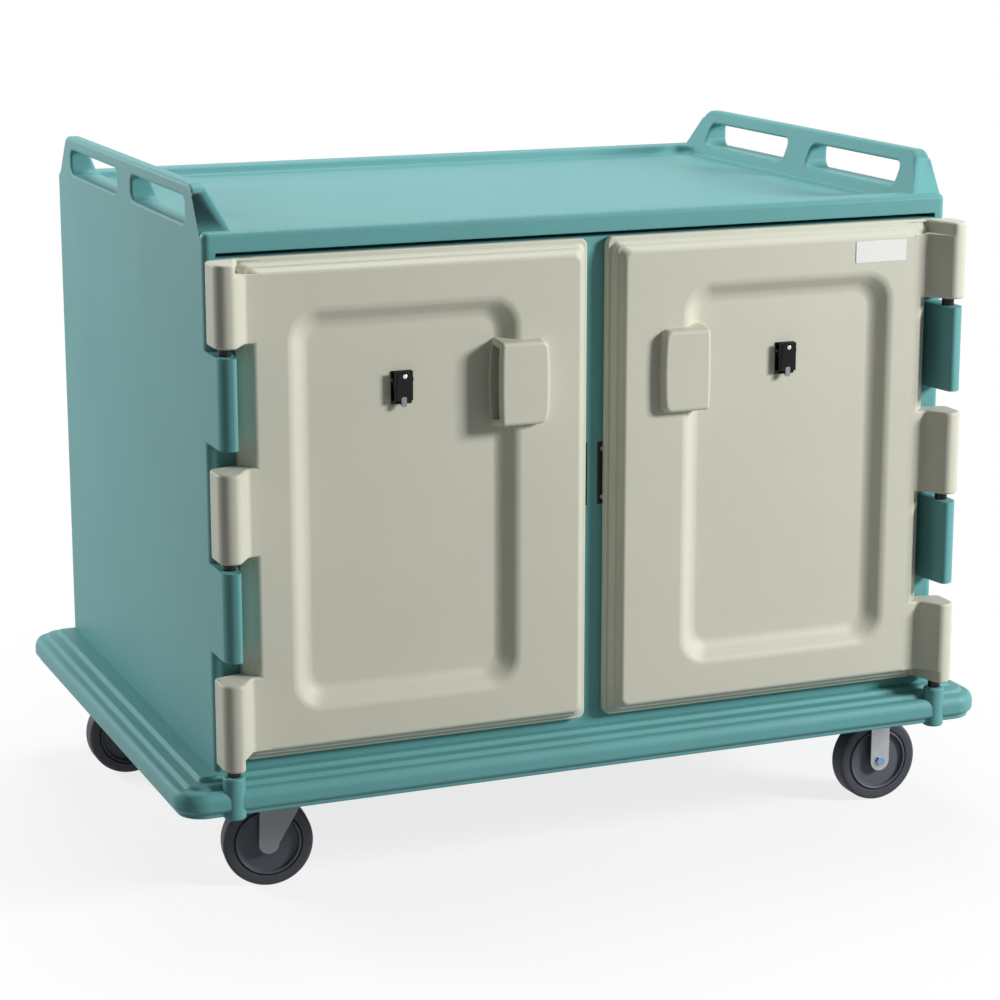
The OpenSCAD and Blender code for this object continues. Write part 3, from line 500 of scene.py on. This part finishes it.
def door_pull():
    levels = [pull_level(FLOOR_Y + 1, PULL_OUT, PULL_IN - 2, 0, (4, 9)),
              pull_level(PULL_Y, PULL_OUT + PULL_DRAFT, PULL_IN - 4, PULL_DRAFT, (6, 2))]
    bm = moulding(levels, (0, 7))
    inner = inner_side(bm)
    bmesh.ops.inset_region(bm, faces=inner, thickness=PULL_WALL * MM, depth=0, use_even_offset=True)
    rim = [e for e in {e for f in inner for e in f.edges} if sum(f in inner for f in e.link_faces) == 1]
    made = bmesh.ops.extrude_face_region(bm, geom=inner)["geom"]
    bmesh.ops.delete(bm, geom=inner, context="FACES_KEEP_BOUNDARY")
    bmesh.ops.translate(bm, vec=(-POCKET_DEPTH * MM, 0, 0),
                        verts=[g for g in made if isinstance(g, bmesh.types.BMVert)])
    soften(bm, [e for e in rim if e.is_valid], 2, 2)
    bmesh.ops.recalc_face_normals(bm, faces=bm.faces)
    return bm


pull = door_pull()
print("pull has", len(pull.faces), "faces")
pull.free()

# %% [markdown]
# Each knuckle grows out of the leaf: an arm lies level with the door's face, a flank rises from it to a
# blunt nose, and a wide round corner turns to the flat outer side. A barrel, as on a steel hinge, would
# be quicker, but a moulded hinge has this shape, so its plan is drawn and extruded upwards. Near the
# door's top and bottom, where the leaf is only a flange, the flank starts lower. The arm stands a tenth
# proud of the face, because two faces in one plane would flicker.

# %% Door knuckles
HINGE_X, HINGE_Y = HALF - 17, -47
KNUCKLE_PITCH, KNUCKLE_LENGTH, KNUCKLE_EDGE = 340, 144, 4.5
KNUCKLE_LOW = [DECK_TOP + 20 + i * KNUCKLE_PITCH for i in range(3)]
NOSE_X, NOSE_Y, NOSE_ARC, FLANK_ARC = HINGE_X - 10, HINGE_Y - 33, 22, 7
DOOR_SIDE, ARM_X, ROOT_X = HALF + 4, HINGE_EDGE - 7, HINGE_EDGE - 37
PROUD, BLEND = 0.1, 0.3


def door_knuckle(z0, z1):
    inside = BACK_Y - 1
    front = [(NOSE_X, NOSE_Y), (DOOR_SIDE, NOSE_Y), (DOOR_SIDE, -18), (HINGE_EDGE - 2, inside)]
    on_flange = [(ROOT_X, inside), (ROOT_X, FLANGE_Y), (HINGE_EDGE, FLANGE_Y)] + front
    on_face = [(ROOT_X, inside), (ROOT_X, FACE_Y - PROUD), (ARM_X, FACE_Y - PROUD)] + front
    rows = [(z0, on_face), (z1, on_face)]
    if z0 < FACE_LOW:
        rows = [(z0, on_flange), (FACE_LOW, on_flange), (FACE_LOW + BLEND, on_face), (z1, on_face)]
    if z1 > FACE_TOP:
        rows = [(z0, on_face), (FACE_TOP - BLEND, on_face), (FACE_TOP, on_flange), (z1, on_flange)]
    levels = [plan(corners, (0, 0, 5, FLANK_ARC, NOSE_ARC, 6, 0), z) for z, corners in rows]
    return moulding(levels, [KNUCKLE_EDGE] + [0] * (len(rows) - 2) + [KNUCKLE_EDGE])


def door_knuckles():
    tops = [KNUCKLE_LOW[0] + KNUCKLE_LENGTH, KNUCKLE_LOW[1] + KNUCKLE_LENGTH, FLANGE_TOP]
    return [door_knuckle(low, top) for low, top in zip(KNUCKLE_LOW, tops)]


for side in SIDES:
    door = joined([door_leaf(), door_pull()] + door_knuckles())
    piece(sided(door, side), side + "_moulded_door", cream, side + "_door",
          (side + "_door_panel",))

# %% [markdown]
# ## Cabinet, worktop and handles
# The cabinet holds two bays behind a frame, and its teal knuckles sit between those of the doors. The
# bays could be cut with Booleans. Pushing a face in leaves one clean face to a wall instead, which
# bevels well: the front face is split along the bay's four sides, and the piece between them is pushed
# in. The groove under the worktop's band, which stays black in the photograph, and the seats of the
# catches are made likewise. The knuckles have the doors' front, and are flush with the cabinet's side.

# %% Cabinet
SIDE_WALL, UPRIGHT, BAY_FLOOR, BAY_CEILING, BACK_WALL, BAY_EDGE = 60, 64, 36, 25, 48, 5
CORNER, GROOVE_END, GROOVE_DEPTH, SEAT_DEPTH = 12, 20, 40, 10
LIFT_OFF, COLLAR = 37, 14


def pocket(bm, x0, z0, x1, z1, depth, radius=0):
    centre = place((x0 + x1) / 2, 0, (z0 + z1) / 2)

    def spans_centre(face, axis):
        along = [v.co[axis] for v in face.verts]
        return min(along) < centre[axis] < max(along)

    def face_there():
        fronts = [f for f in bm.faces
                  if f.normal.y < -0.99 and abs(f.calc_center_median().y - FRONT) < MM]
        return next(f for f in fronts if spans_centre(f, 0) and spans_centre(f, 2))

    for at, axis in ((x0, 0), (x1, 0), (z0, 2), (z1, 2)):
        face = face_there()
        normal = Vector((axis == 0, 0, axis == 2))
        bmesh.ops.bisect_plane(bm, geom=[face] + list(face.edges) + list(face.verts), dist=1e-6,
                               plane_co=normal * at * MM, plane_no=normal)
    rim = list(face_there().edges)
    pushed = bmesh.ops.extrude_discrete_faces(bm, faces=[face_there()])["faces"]
    bmesh.ops.translate(bm, vec=(0, depth * MM, 0), verts=pushed[0].verts)
    if radius:
        soften(bm, rim + list(pushed[0].edges), radius, 3)


def cabinet_body():
    levels = [flat_rect(-HALF, 0, HALF, DEPTH, z, CORNER) for z in (DECK_TOP, CABINET_TOP)]
    bm = moulding(levels, (0, 0))
    pocket(bm, GROOVE_END - HALF, FLANGE_TOP, HALF - GROOVE_END, CABINET_TOP - 0.5, GROOVE_DEPTH)
    for side in (-1, 1):
        x0, x1 = sorted((side * UPRIGHT / 2, side * (HALF - SIDE_WALL)))
        pocket(bm, x0, DECK_TOP + BAY_FLOOR, x1, CABINET_TOP - BAY_CEILING, DEPTH - BACK_WALL, BAY_EDGE)
    for name in ("left_magnet_catch", "right_magnet_catch"):
        low, high = (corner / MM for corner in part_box(name))
        pocket(bm, low.x, low.z, high.x, high.z, SEAT_DEPTH)
    return bm


def cabinet_knuckle(z0, z1):
    foot, inside = HINGE_X - 22, 12
    corners = [(foot, inside), (foot, 0), (NOSE_X, NOSE_Y), (HALF, NOSE_Y), (HALF, inside)]
    levels = [plan(corners, (0, 0, FLANK_ARC, NOSE_ARC, 0), z) for z in (z0, z1)]
    return moulding(levels, (KNUCKLE_EDGE, KNUCKLE_EDGE))


cabinet_knuckles = []
for low, above in zip(KNUCKLE_LOW, KNUCKLE_LOW[1:]):
    for side in SIDES:
        barrel = cabinet_knuckle(low + KNUCKLE_LENGTH + LIFT_OFF, above - COLLAR)
        cabinet_knuckles.append(sided(barrel, side))
piece(joined([cabinet_body()] + cabinet_knuckles), "moulded_cabinet", teal, "cabinet", ("cabinet_shell",))

# %% [markdown]
# The worktop is a tray: a raised rim keeps things from sliding off, and the recess inside it has
# drafted walls. An inset of the top face would do, but outlines give the recess its own corner radius.

# %% Worktop
RIM_WIDTH, RECESS, RECESS_DRAFT = 50, 16, 5


def worktop():
    def top_outline(inset, z, cut):
        return flat_rect(-HALF + inset, inset, HALF - inset, DEPTH - inset, z, cut)

    outlines_and_radii = [
        (top_outline(0, CABINET_TOP, CORNER), 0.3),
        (top_outline(0, RIM, CORNER), 9),
        (top_outline(RIM_WIDTH, RIM, 22), 5),
        (top_outline(RIM_WIDTH + RECESS_DRAFT, RIM - RECESS, 20), 7),
    ]
    return moulding(*zip(*outlines_and_radii))


piece(worktop(), "moulded_worktop", teal, "cabinet", ("worktop",))

# %% [markdown]
# The handles are moulded in one with the worktop. Each is a wedge whose outer face runs on from the
# cabinet's side and whose inner face slopes down to the floor of the recess. Its foot goes two
# millimetres into that floor. Two grip slots go through it. They could be bridged from face to face, but
# a Boolean modifier keeps each wall one face. Every rim is then rounded for the hand. The long edges that
# run down to the foot stay sharp.

# %% Handles
HANDLE_FRONT, HANDLE_BACK, HANDLE_RISE, SLOPE = 22, DEPTH - 25, 69, 43
HANDLE_TOP, HANDLE_SUNK, HANDLE_THICK, LEAN = RIM + HANDLE_RISE, RECESS + 2, 25, 0.375
SLOT_LENGTH, SLOT_BRIDGE, SLOT_LOW, SLOT_TOP, SLOT_ARC = 320, 90, RIM + 4, RIM + 46, 15
GRIP_RADIUS, GRIP_SHARP = 6, 32


def handle_body():
    foot, outer = RIM - HANDLE_SUNK, HALF + 0.1
    spread = SLOPE * HANDLE_SUNK / HANDLE_RISE
    bm = moulding([side_rect(x, HANDLE_FRONT - spread, HANDLE_BACK + spread, foot, HANDLE_TOP,
                             SLOPE + spread, (0, 0, 14, 14)) for x in (outer, outer - RIM_WIDTH - 20)],
                  (0, 0))
    bmesh.ops.bisect_plane(bm, geom=bm.verts[:] + bm.edges[:] + bm.faces[:], dist=1e-6, clear_inner=True,
                           plane_co=place(outer - HANDLE_THICK, 0, HANDLE_TOP),
                           plane_no=Vector((1, 0, -LEAN)).normalized())
    bmesh.ops.holes_fill(bm, edges=[e for e in bm.edges if e.is_boundary], sides=0)
    return bm


def grip_slot(y0):
    return moulding([side_rect(x, y0, y0 + SLOT_LENGTH, SLOT_LOW, SLOT_TOP, 0, [SLOT_ARC] * 4)
                     for x in (HALF - 90, HALF + 40)], (0, 0))


def push_handle():
    middle = (HANDLE_FRONT + HANDLE_BACK) / 2
    body = made_object(handle_body(), "handle body")
    slots = made_object(joined([grip_slot(middle - SLOT_BRIDGE / 2 - SLOT_LENGTH),
                                grip_slot(middle + SLOT_BRIDGE / 2)]), "slots")
    cut = body.modifiers.new("slots", "BOOLEAN")
    cut.object = slots
    cut.operation = "DIFFERENCE"
    cut.solver = "EXACT"
    bpy.context.view_layer.update()
    solved = body.evaluated_get(bpy.context.evaluated_depsgraph_get())
    cut_mesh = bpy.data.meshes.new_from_object(solved)
    bm = bmesh.new()
    bm.from_mesh(cut_mesh)
    for used in (body, slots):
        bpy.data.objects.remove(used)
    bpy.data.meshes.remove(cut_mesh)
    bmesh.ops.remove_doubles(bm, verts=bm.verts, dist=0.01 * MM)
    above_foot = place(0, 0, RIM - RECESS + 2).z
    rims = [e for e in sharp_edges(bm, GRIP_SHARP) if min(v.co.z for v in e.verts) > above_foot]
    soften(bm, rims, GRIP_RADIUS, clamp=False)
    return bm


for side in SIDES:
    piece(sided(push_handle(), side), side + "_push_handle", teal, "cabinet",
          (side + "_end_handle",))

# %% [markdown]
# ## Deck
# The deck is the cart's bumper. Its top steps down twice from the cabinet to the edge, its nose is round
# and its foot is set back. A profile could be swept round the edge. Outlines on top of one another turn
# the corners by themselves and close the middle as well. Two bosses on the front edge carry the lowest
# hinge pins.

# %% Deck
deck_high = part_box("bumper_deck")[1]
DECK_X, DECK_BACK = deck_high.x / MM, (deck_high.y - FRONT) / MM
DECK_FRONT, DECK_LOW, DECK_CORNER, STEP, RISE = -62, 190, 50, 22, 7.5
FOOT_INSET, FOOT_TOP, BUMPER_LOW, BUMPER_TOP = 8, 8, 12, 31
BOSS_RADIUS, BOSS_BELOW, BOSS_EDGE = 18, 6, 4


def deck_level(z, inset):
    cut = max(DECK_CORNER - inset, 6)
    return flat_rect(-DECK_X + inset, DECK_FRONT + inset, DECK_X - inset, DECK_BACK - inset, z, cut)


def deck():
    lowest, middle = DECK_TOP - 2 * RISE, DECK_TOP - RISE
    outlines_and_radii = [
        (deck_level(DECK_LOW, FOOT_INSET), 3),
        (deck_level(DECK_LOW + FOOT_TOP, FOOT_INSET), 2),
        (deck_level(DECK_LOW + BUMPER_LOW, 0), 4),
        (deck_level(DECK_LOW + BUMPER_TOP, 0), 4),
        (deck_level(lowest, 6), 5),
        (deck_level(lowest, STEP - 2), 2.4),
        (deck_level(middle, STEP + 2), 2.6),
        (deck_level(middle, 2 * STEP - 2), 2.4),
        (deck_level(DECK_TOP, 2 * STEP + 2), 2.6),
    ]
    return moulding(*zip(*outlines_and_radii))


def deck_boss(side):
    bm = bmesh.new()
    circle = bmesh.ops.create_circle(bm, cap_ends=True, radius=BOSS_RADIUS * MM, segments=48)["verts"]
    low = DECK_LOW - BOSS_BELOW
    bmesh.ops.translate(bm, verts=circle, vec=place(HINGE_X, HINGE_Y, low))
    top = bmesh.ops.extrude_face_region(bm, geom=bm.faces[:])["geom"]
    lifted = [v for v in top if isinstance(v, bmesh.types.BMVert)]
    bmesh.ops.translate(bm, verts=lifted, vec=(0, 0, (KNUCKLE_LOW[0] - COLLAR - low) * MM))
    bmesh.ops.recalc_face_normals(bm, faces=bm.faces)
    soften(bm, sharp_edges(bm, 60), BOSS_EDGE)
    return sided(bm, side)


piece(joined([deck(), deck_boss("left"), deck_boss("right")]), "moulded_deck", teal, "cabinet",
      ("bumper_deck",))

# %% [markdown]
# ## Tray rails, hinge pins and catches
# Trays slide on ledged panels, nylon pins carry the doors, and magnets in black cases hold them shut.
# These are plain parts. Modelling them again would only repeat the CAD, so their edges are broken.

# %% Rails, pins and catches
for name in ("left_bay_outer_rails", "left_bay_inner_rails", "right_bay_inner_rails",
             "right_bay_outer_rails"):
    piece(softened(name, 2.5, 3), name + "_moulded", rail_white, "cabinet", (name,))
for side in SIDES:
    piece(softened(side + "_hinge_pins", 0.8), side + "_nylon_pins", satin_black, "cabinet",
          (side + "_hinge_pins",))
    piece(softened(side + "_magnet_catch", 0.6), side + "_catch_case", satin_black, "cabinet",
          (side + "_magnet_catch",))

# %% [markdown]
# ## Menu clips
# A black spring clip sits on the floor of each field and holds a menu card. Its lever carries a raised
# face that narrows towards the top. A bright dome rivet holds the face, and a grey steel tongue hangs
# from its lower end. They could be shaped into the lever, but each has a finish of its own, so they are
# small pieces that ride on it.

# %% Clips
CLIP_FACE = ((-13.5, 6), (13.5, 6), (10, 51), (-10, 51))
RIVET_RADIUS, RIVET_FLATNESS = 4, 0.6


def clip_trim(side):
    low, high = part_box(side + "_clip_lever")
    x, y, z = ((low.x + high.x) / 2 / MM, (low.y - FRONT) / MM, low.z / MM)
    face = moulding([([place(x + cx, cy, z + cz) for cx, cz in CLIP_FACE], [4] * 4)
                     for cy in (y + 0.5, y - 1.6)], (0, 1))
    rivet = bmesh.new()
    bmesh.ops.create_uvsphere(rivet, u_segments=24, v_segments=12, radius=RIVET_RADIUS * MM)
    bmesh.ops.scale(rivet, vec=(1, RIVET_FLATNESS, 1), verts=rivet.verts)
    bmesh.ops.translate(rivet, vec=place(x + 2, y - 1.4, z + 45), verts=rivet.verts)
    tongue = moulding([upright_rect(x - 4.5, z - 4, x + 4.5, z + 12, cy, 2.5)
                       for cy in (y + 0.2, y - 2.4)], (0, 0.6))
    return face, rivet, tongue


for side in SIDES:
    piece(softened(side + "_clip_base", 0.5), side + "_clip_plate", gloss_black, side + "_door",
          (side + "_clip_base",))
    piece(softened(side + "_clip_lever", 0.7, 3), side + "_clip_arm", gloss_black, side + "_clip",
          (side + "_clip_lever",))
    face, rivet, tongue = clip_trim(side)
    piece(face, side + "_clip_face", gloss_black, side + "_clip", ())
    piece(rivet, side + "_clip_rivet", chrome, side + "_clip", ())
    piece(tongue, side + "_clip_tongue", grey_paint, side + "_clip", ())

# %% [markdown]
# ## Casters
# The core of a wheel is dished, with a raised ring at its edge, and the tread has round shoulders. Both
# could be put together from cylinders and rings. One half profile, spun once round the axle, gives every
# rib and shoulder in a single closed mesh. A profile lists radius and place along the axle.

# %% Wheels
SPIN_STEPS = 96
TYRE_PROFILE = [(57, -15), (58.4, -18.2), (60, -19), (69, -19), (71.6, -18.6), (73.9, -17.4),
                (75.5, -15.6), (76.2, -13.2), (76.2, 13.2), (75.5, 15.6), (73.9, 17.4), (71.6, 18.6),
                (69, 19), (60, 19), (58.4, 18.2), (57, 15), (57, -15)]
CORE_SIDE = [(8.05, -21.5), (14, -21.5), (16.4, -20.6), (17, -19), (18.5, -14.6), (22, -13), (46, -12.2),
             (49.6, -13), (50.8, -16.6), (52, -19), (53.6, -19.8), (55.2, -19), (56.2, -17), (57, -14.5)]
CORE_PROFILE = CORE_SIDE + [(r, -y) for r, y in reversed(CORE_SIDE)] + CORE_SIDE[:1]


def spun(profile, centre, axis):
    bm = bmesh.new()
    verts = [bm.verts.new((radius * MM, across * MM, 0)) for radius, across in profile]
    edges = [bm.edges.new(pair) for pair in zip(verts, verts[1:])]
    bmesh.ops.spin(bm, geom=verts + edges, cent=(0, 0, 0), axis=(0, 1, 0), angle=math.tau,
                   steps=SPIN_STEPS, use_merge=True)
    bmesh.ops.remove_doubles(bm, verts=bm.verts, dist=0.001 * MM)
    bmesh.ops.recalc_face_normals(bm, faces=bm.faces)
    turn = Vector((0, 1, 0)).rotation_difference(axis).to_matrix().to_4x4()
    bmesh.ops.transform(bm, matrix=Matrix.Translation(centre) @ turn, verts=bm.verts)
    return bm


def wheel(name, body, axis):
    low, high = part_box(name + "_tyre")
    centre = (low + high) / 2
    piece(spun(TYRE_PROFILE, centre, axis), name + "_tread", tread, body, (name + "_tyre",))
    piece(spun(CORE_PROFILE, centre, axis), name + "_hub", wheel_grey, body, (name + "_core",))


for joint in frame["joints"]:
    if joint["name"].endswith("_wheel_spin"):
        caster = joint["child"].replace("_wheel", "")
        wheel(caster, joint["child"], Vector(joint["axis"]))

# %% [markdown]
# Both kinds of fork are pressed from thick sheet. A new fork could be drawn, but the CAD one already
# fits its wheel and axle. Only the swivel fork's legs differ: they end in a broad round foot over the
# axle. So the rim of each foot is pushed outwards from the axle, in the plane of the leg.

# %% Forks and plates
FOOT_HOLE, FOOT_RIM, FOOT_GROWTH = 9, 14.6, 0.26


def broad_foot(bm, end):
    low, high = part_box(end + "_swivel_tyre")
    centre = (low + high) / 2
    axis = next(Vector(j["axis"]) for j in frame["joints"] if j["name"] == end + "_swivel_wheel_spin")
    for vertex in bm.verts:
        reach = vertex.co - centre
        reach -= axis * reach.dot(axis)
        if FOOT_HOLE * MM < reach.length < FOOT_RIM * MM:
            vertex.co += reach * FOOT_GROWTH
    return bm


for end in ("front", "rear"):
    piece(broad_foot(softened(end + "_swivel_fork", 1.2), end), end + "_swivel_yoke", grey_paint,
          end + "_swivel", (end + "_swivel_fork",))
    piece(softened(end + "_swivel_plate", 1.0), end + "_swivel_flange", zinc, "cabinet",
          (end + "_swivel_plate",))
    piece(softened(end + "_rigid_fork", 1.2), end + "_rigid_yoke", satin_zinc, "cabinet",
          (end + "_rigid_fork",))

# %% [markdown]
# ## Carried-over CAD parts
# Bolts, balls, axles, sleeves, screws, springs and the blank plate are small or hidden. They keep their
# CAD meshes and only take their finish, which their slot in the CAD record chooses. The rigid casters'
# axle bolts have the bluish tone of passivated zinc, and the swivel casters' flush rivets are painted
# with their forks.

# %% Finishes of the remaining nodes
FINISH_OF_SLOT = {
    "bright_pin": chrome, "zinc_steel": zinc, "grey_steel": grey_paint, "plate_white": plate_white,
    "black_pin": satin_black, "black_catch": satin_black, "clip_black": gloss_black,
    "teal_plastic": teal, "cream_plastic": cream, "rail_plastic": rail_white,
    "wheel_core": wheel_grey, "tyre_grey": tread,
}
slot_of = {part["node"]: part["material_slot"] for part in frame["record"]["subparts"]}
for name, node in nodes.items():
    node.data.materials.clear()
    finish = FINISH_OF_SLOT[slot_of[name]]
    if name.endswith("_rigid_axle"):
        finish = blue_zinc
    elif name.endswith("_swivel_axle"):
        finish = grey_paint
    node.data.materials.append(finish)
print("finished", len(nodes), "nodes")

# %% [markdown]
# ## Studio
# A pale floor and a pale world stand in for a photographer's sweep. More light would also turn the
# background white, but it would bleach the cream doors. So only rays that see them directly find them
# white, and the cart is lit by little of it. The floor keeps the cart's shadow near the wheels, and
# turns to plain white for the camera further out.

# %% Floor and world
AMBIENT, FLOOR_BOUNCE, FLOOR_SEEN = 0.1, 0.3, 0.93
SHADOW_REACH, WHITE_FROM, LEAST_GLOW = 0.7, 1.7, 0.8


def seen_directly(tree):
    rays = tree.nodes.new("ShaderNodeLightPath").outputs
    seen = rays["Is Camera Ray"]
    for kind in ("Is Glossy Ray", "Is Transmission Ray"):
        either = tree.nodes.new("ShaderNodeMath")
        either.operation = "MAXIMUM"
        tree.links.new(seen, either.inputs[0])
        tree.links.new(rays[kind], either.inputs[1])
        seen = either.outputs[0]
    return seen


def pale_world():
    world = bpy.data.worlds.new("pale studio")
    bpy.context.scene.world = world
    world.use_nodes = True
    tree = world.node_tree
    background = tree.nodes["Background"]
    background.inputs["Color"].default_value = (1, 1, 1, 1)
    strength = ranged(tree, seen_directly(tree), AMBIENT, 1.0)
    tree.links.new(strength.outputs[0], background.inputs["Strength"])


def floor_glow(tree):
    where = tree.nodes.new("ShaderNodeTexCoord")
    away = tree.nodes.new("ShaderNodeVectorMath")
    away.operation = "LENGTH"
    tree.links.new(where.outputs["Object"], away.inputs[0])
    fade = ranged(tree, away.outputs["Value"], LEAST_GLOW, 1.0)
    fade.interpolation_type = "SMOOTHSTEP"
    fade.inputs["From Min"].default_value = SHADOW_REACH
    fade.inputs["From Max"].default_value = WHITE_FROM
    share = tree.nodes.new("ShaderNodeMath")
    share.operation = "MULTIPLY"
    tree.links.new(fade.outputs[0], share.inputs[0])
    tree.links.new(seen_directly(tree), share.inputs[1])
    return share.outputs[0]


def pale_floor():
    bm = bmesh.new()
    bmesh.ops.create_grid(bm, x_segments=1, y_segments=1, size=60)
    floor = made_object(bm, "studio_floor")
    material, tree, shader = blank("pale floor")
    tone = ranged(tree, seen_directly(tree), FLOOR_BOUNCE, FLOOR_SEEN)
    tree.links.new(tone.outputs[0], shader.inputs["Base Color"])
    shader.inputs["Roughness"].default_value = 0.9
    shader.inputs["Specular IOR Level"].default_value = 0.1
    glow = tree.nodes.new("ShaderNodeEmission")
    glow.inputs["Color"].default_value = (1, 1, 1, 1)
    blend = tree.nodes.new("ShaderNodeMixShader")
    tree.links.new(floor_glow(tree), blend.inputs[0])
    tree.links.new(shader.outputs[0], blend.inputs[1])
    tree.links.new(glow.outputs[0], blend.inputs[2])
    tree.links.new(blend.outputs[0], tree.nodes["Material Output"].inputs["Surface"])
    floor.data.materials.append(material)


pale_world()
pale_floor()
print("floor fades to white between %.1f and %.1f m" % (SHADOW_REACH, WHITE_FROM))

# %% [markdown]
# Three large lamps light the cart. The key stands in front, about halfway to the right. A second lamp
# stands at the left, behind the cabinet's front plane, so that it lights the left side and leaves the
# left-facing walls of the fields in shade. A third hangs overhead and lights the worktop. Smaller lamps
# would give the hard shadows that the photograph doesn't show.


# %% Lamps
def lamp(name, location, target, size, watts):
    light = bpy.data.lights.new(name, "AREA")
    light.size = size
    light.energy = watts
    obj = bpy.data.objects.new(name, light)
    bpy.context.scene.collection.objects.link(obj)
    obj.location = location
    obj.rotation_euler = (Vector(target) - Vector(location)).to_track_quat("-Z", "Y").to_euler()
    print("%s lamp, %.1f m wide, %d W" % (name, size, watts))


lamp("key", location=(4.4, -3.8, 2.8), target=(0, -0.3, 0.6), size=1.3, watts=385)
lamp("side", location=(-3.4, 3.0, 2.2), target=(-0.6, 0, 0.6), size=1.4, watts=135)
lamp("overhead", location=(0.2, 0.8, 4.4), target=(0, 0, 1.1), size=1.8, watts=88)

# %% [markdown]
# ## Camera
# The camera's place could be set by eye. Here it was solved from the cabinet's edges in the photograph,
# so that the render can be laid over it. It stands 4.5 m from the middle of the cabinet's front, 24
# degrees to the left and 1.7 m up, with a 101 mm lens, and looks down by 13 degrees.

# %% Camera
LENS, LOOKS_DOWN, TURNED = 100.96, 13.24, -22.41
camera = bpy.data.cameras.new("camera")
camera.lens = LENS
camera.sensor_width = 36
viewpoint = bpy.data.objects.new("camera", camera)
bpy.context.scene.collection.objects.link(viewpoint)
viewpoint.location = place(-1871.65, -4138.04, 1706.8)
viewpoint.rotation_euler = (math.radians(90 - LOOKS_DOWN), 0, math.radians(TURNED))
bpy.context.scene.camera = viewpoint
bpy.context.scene.view_settings.view_transform = "Standard"
print("camera %.2f m up" % viewpoint.location.z)
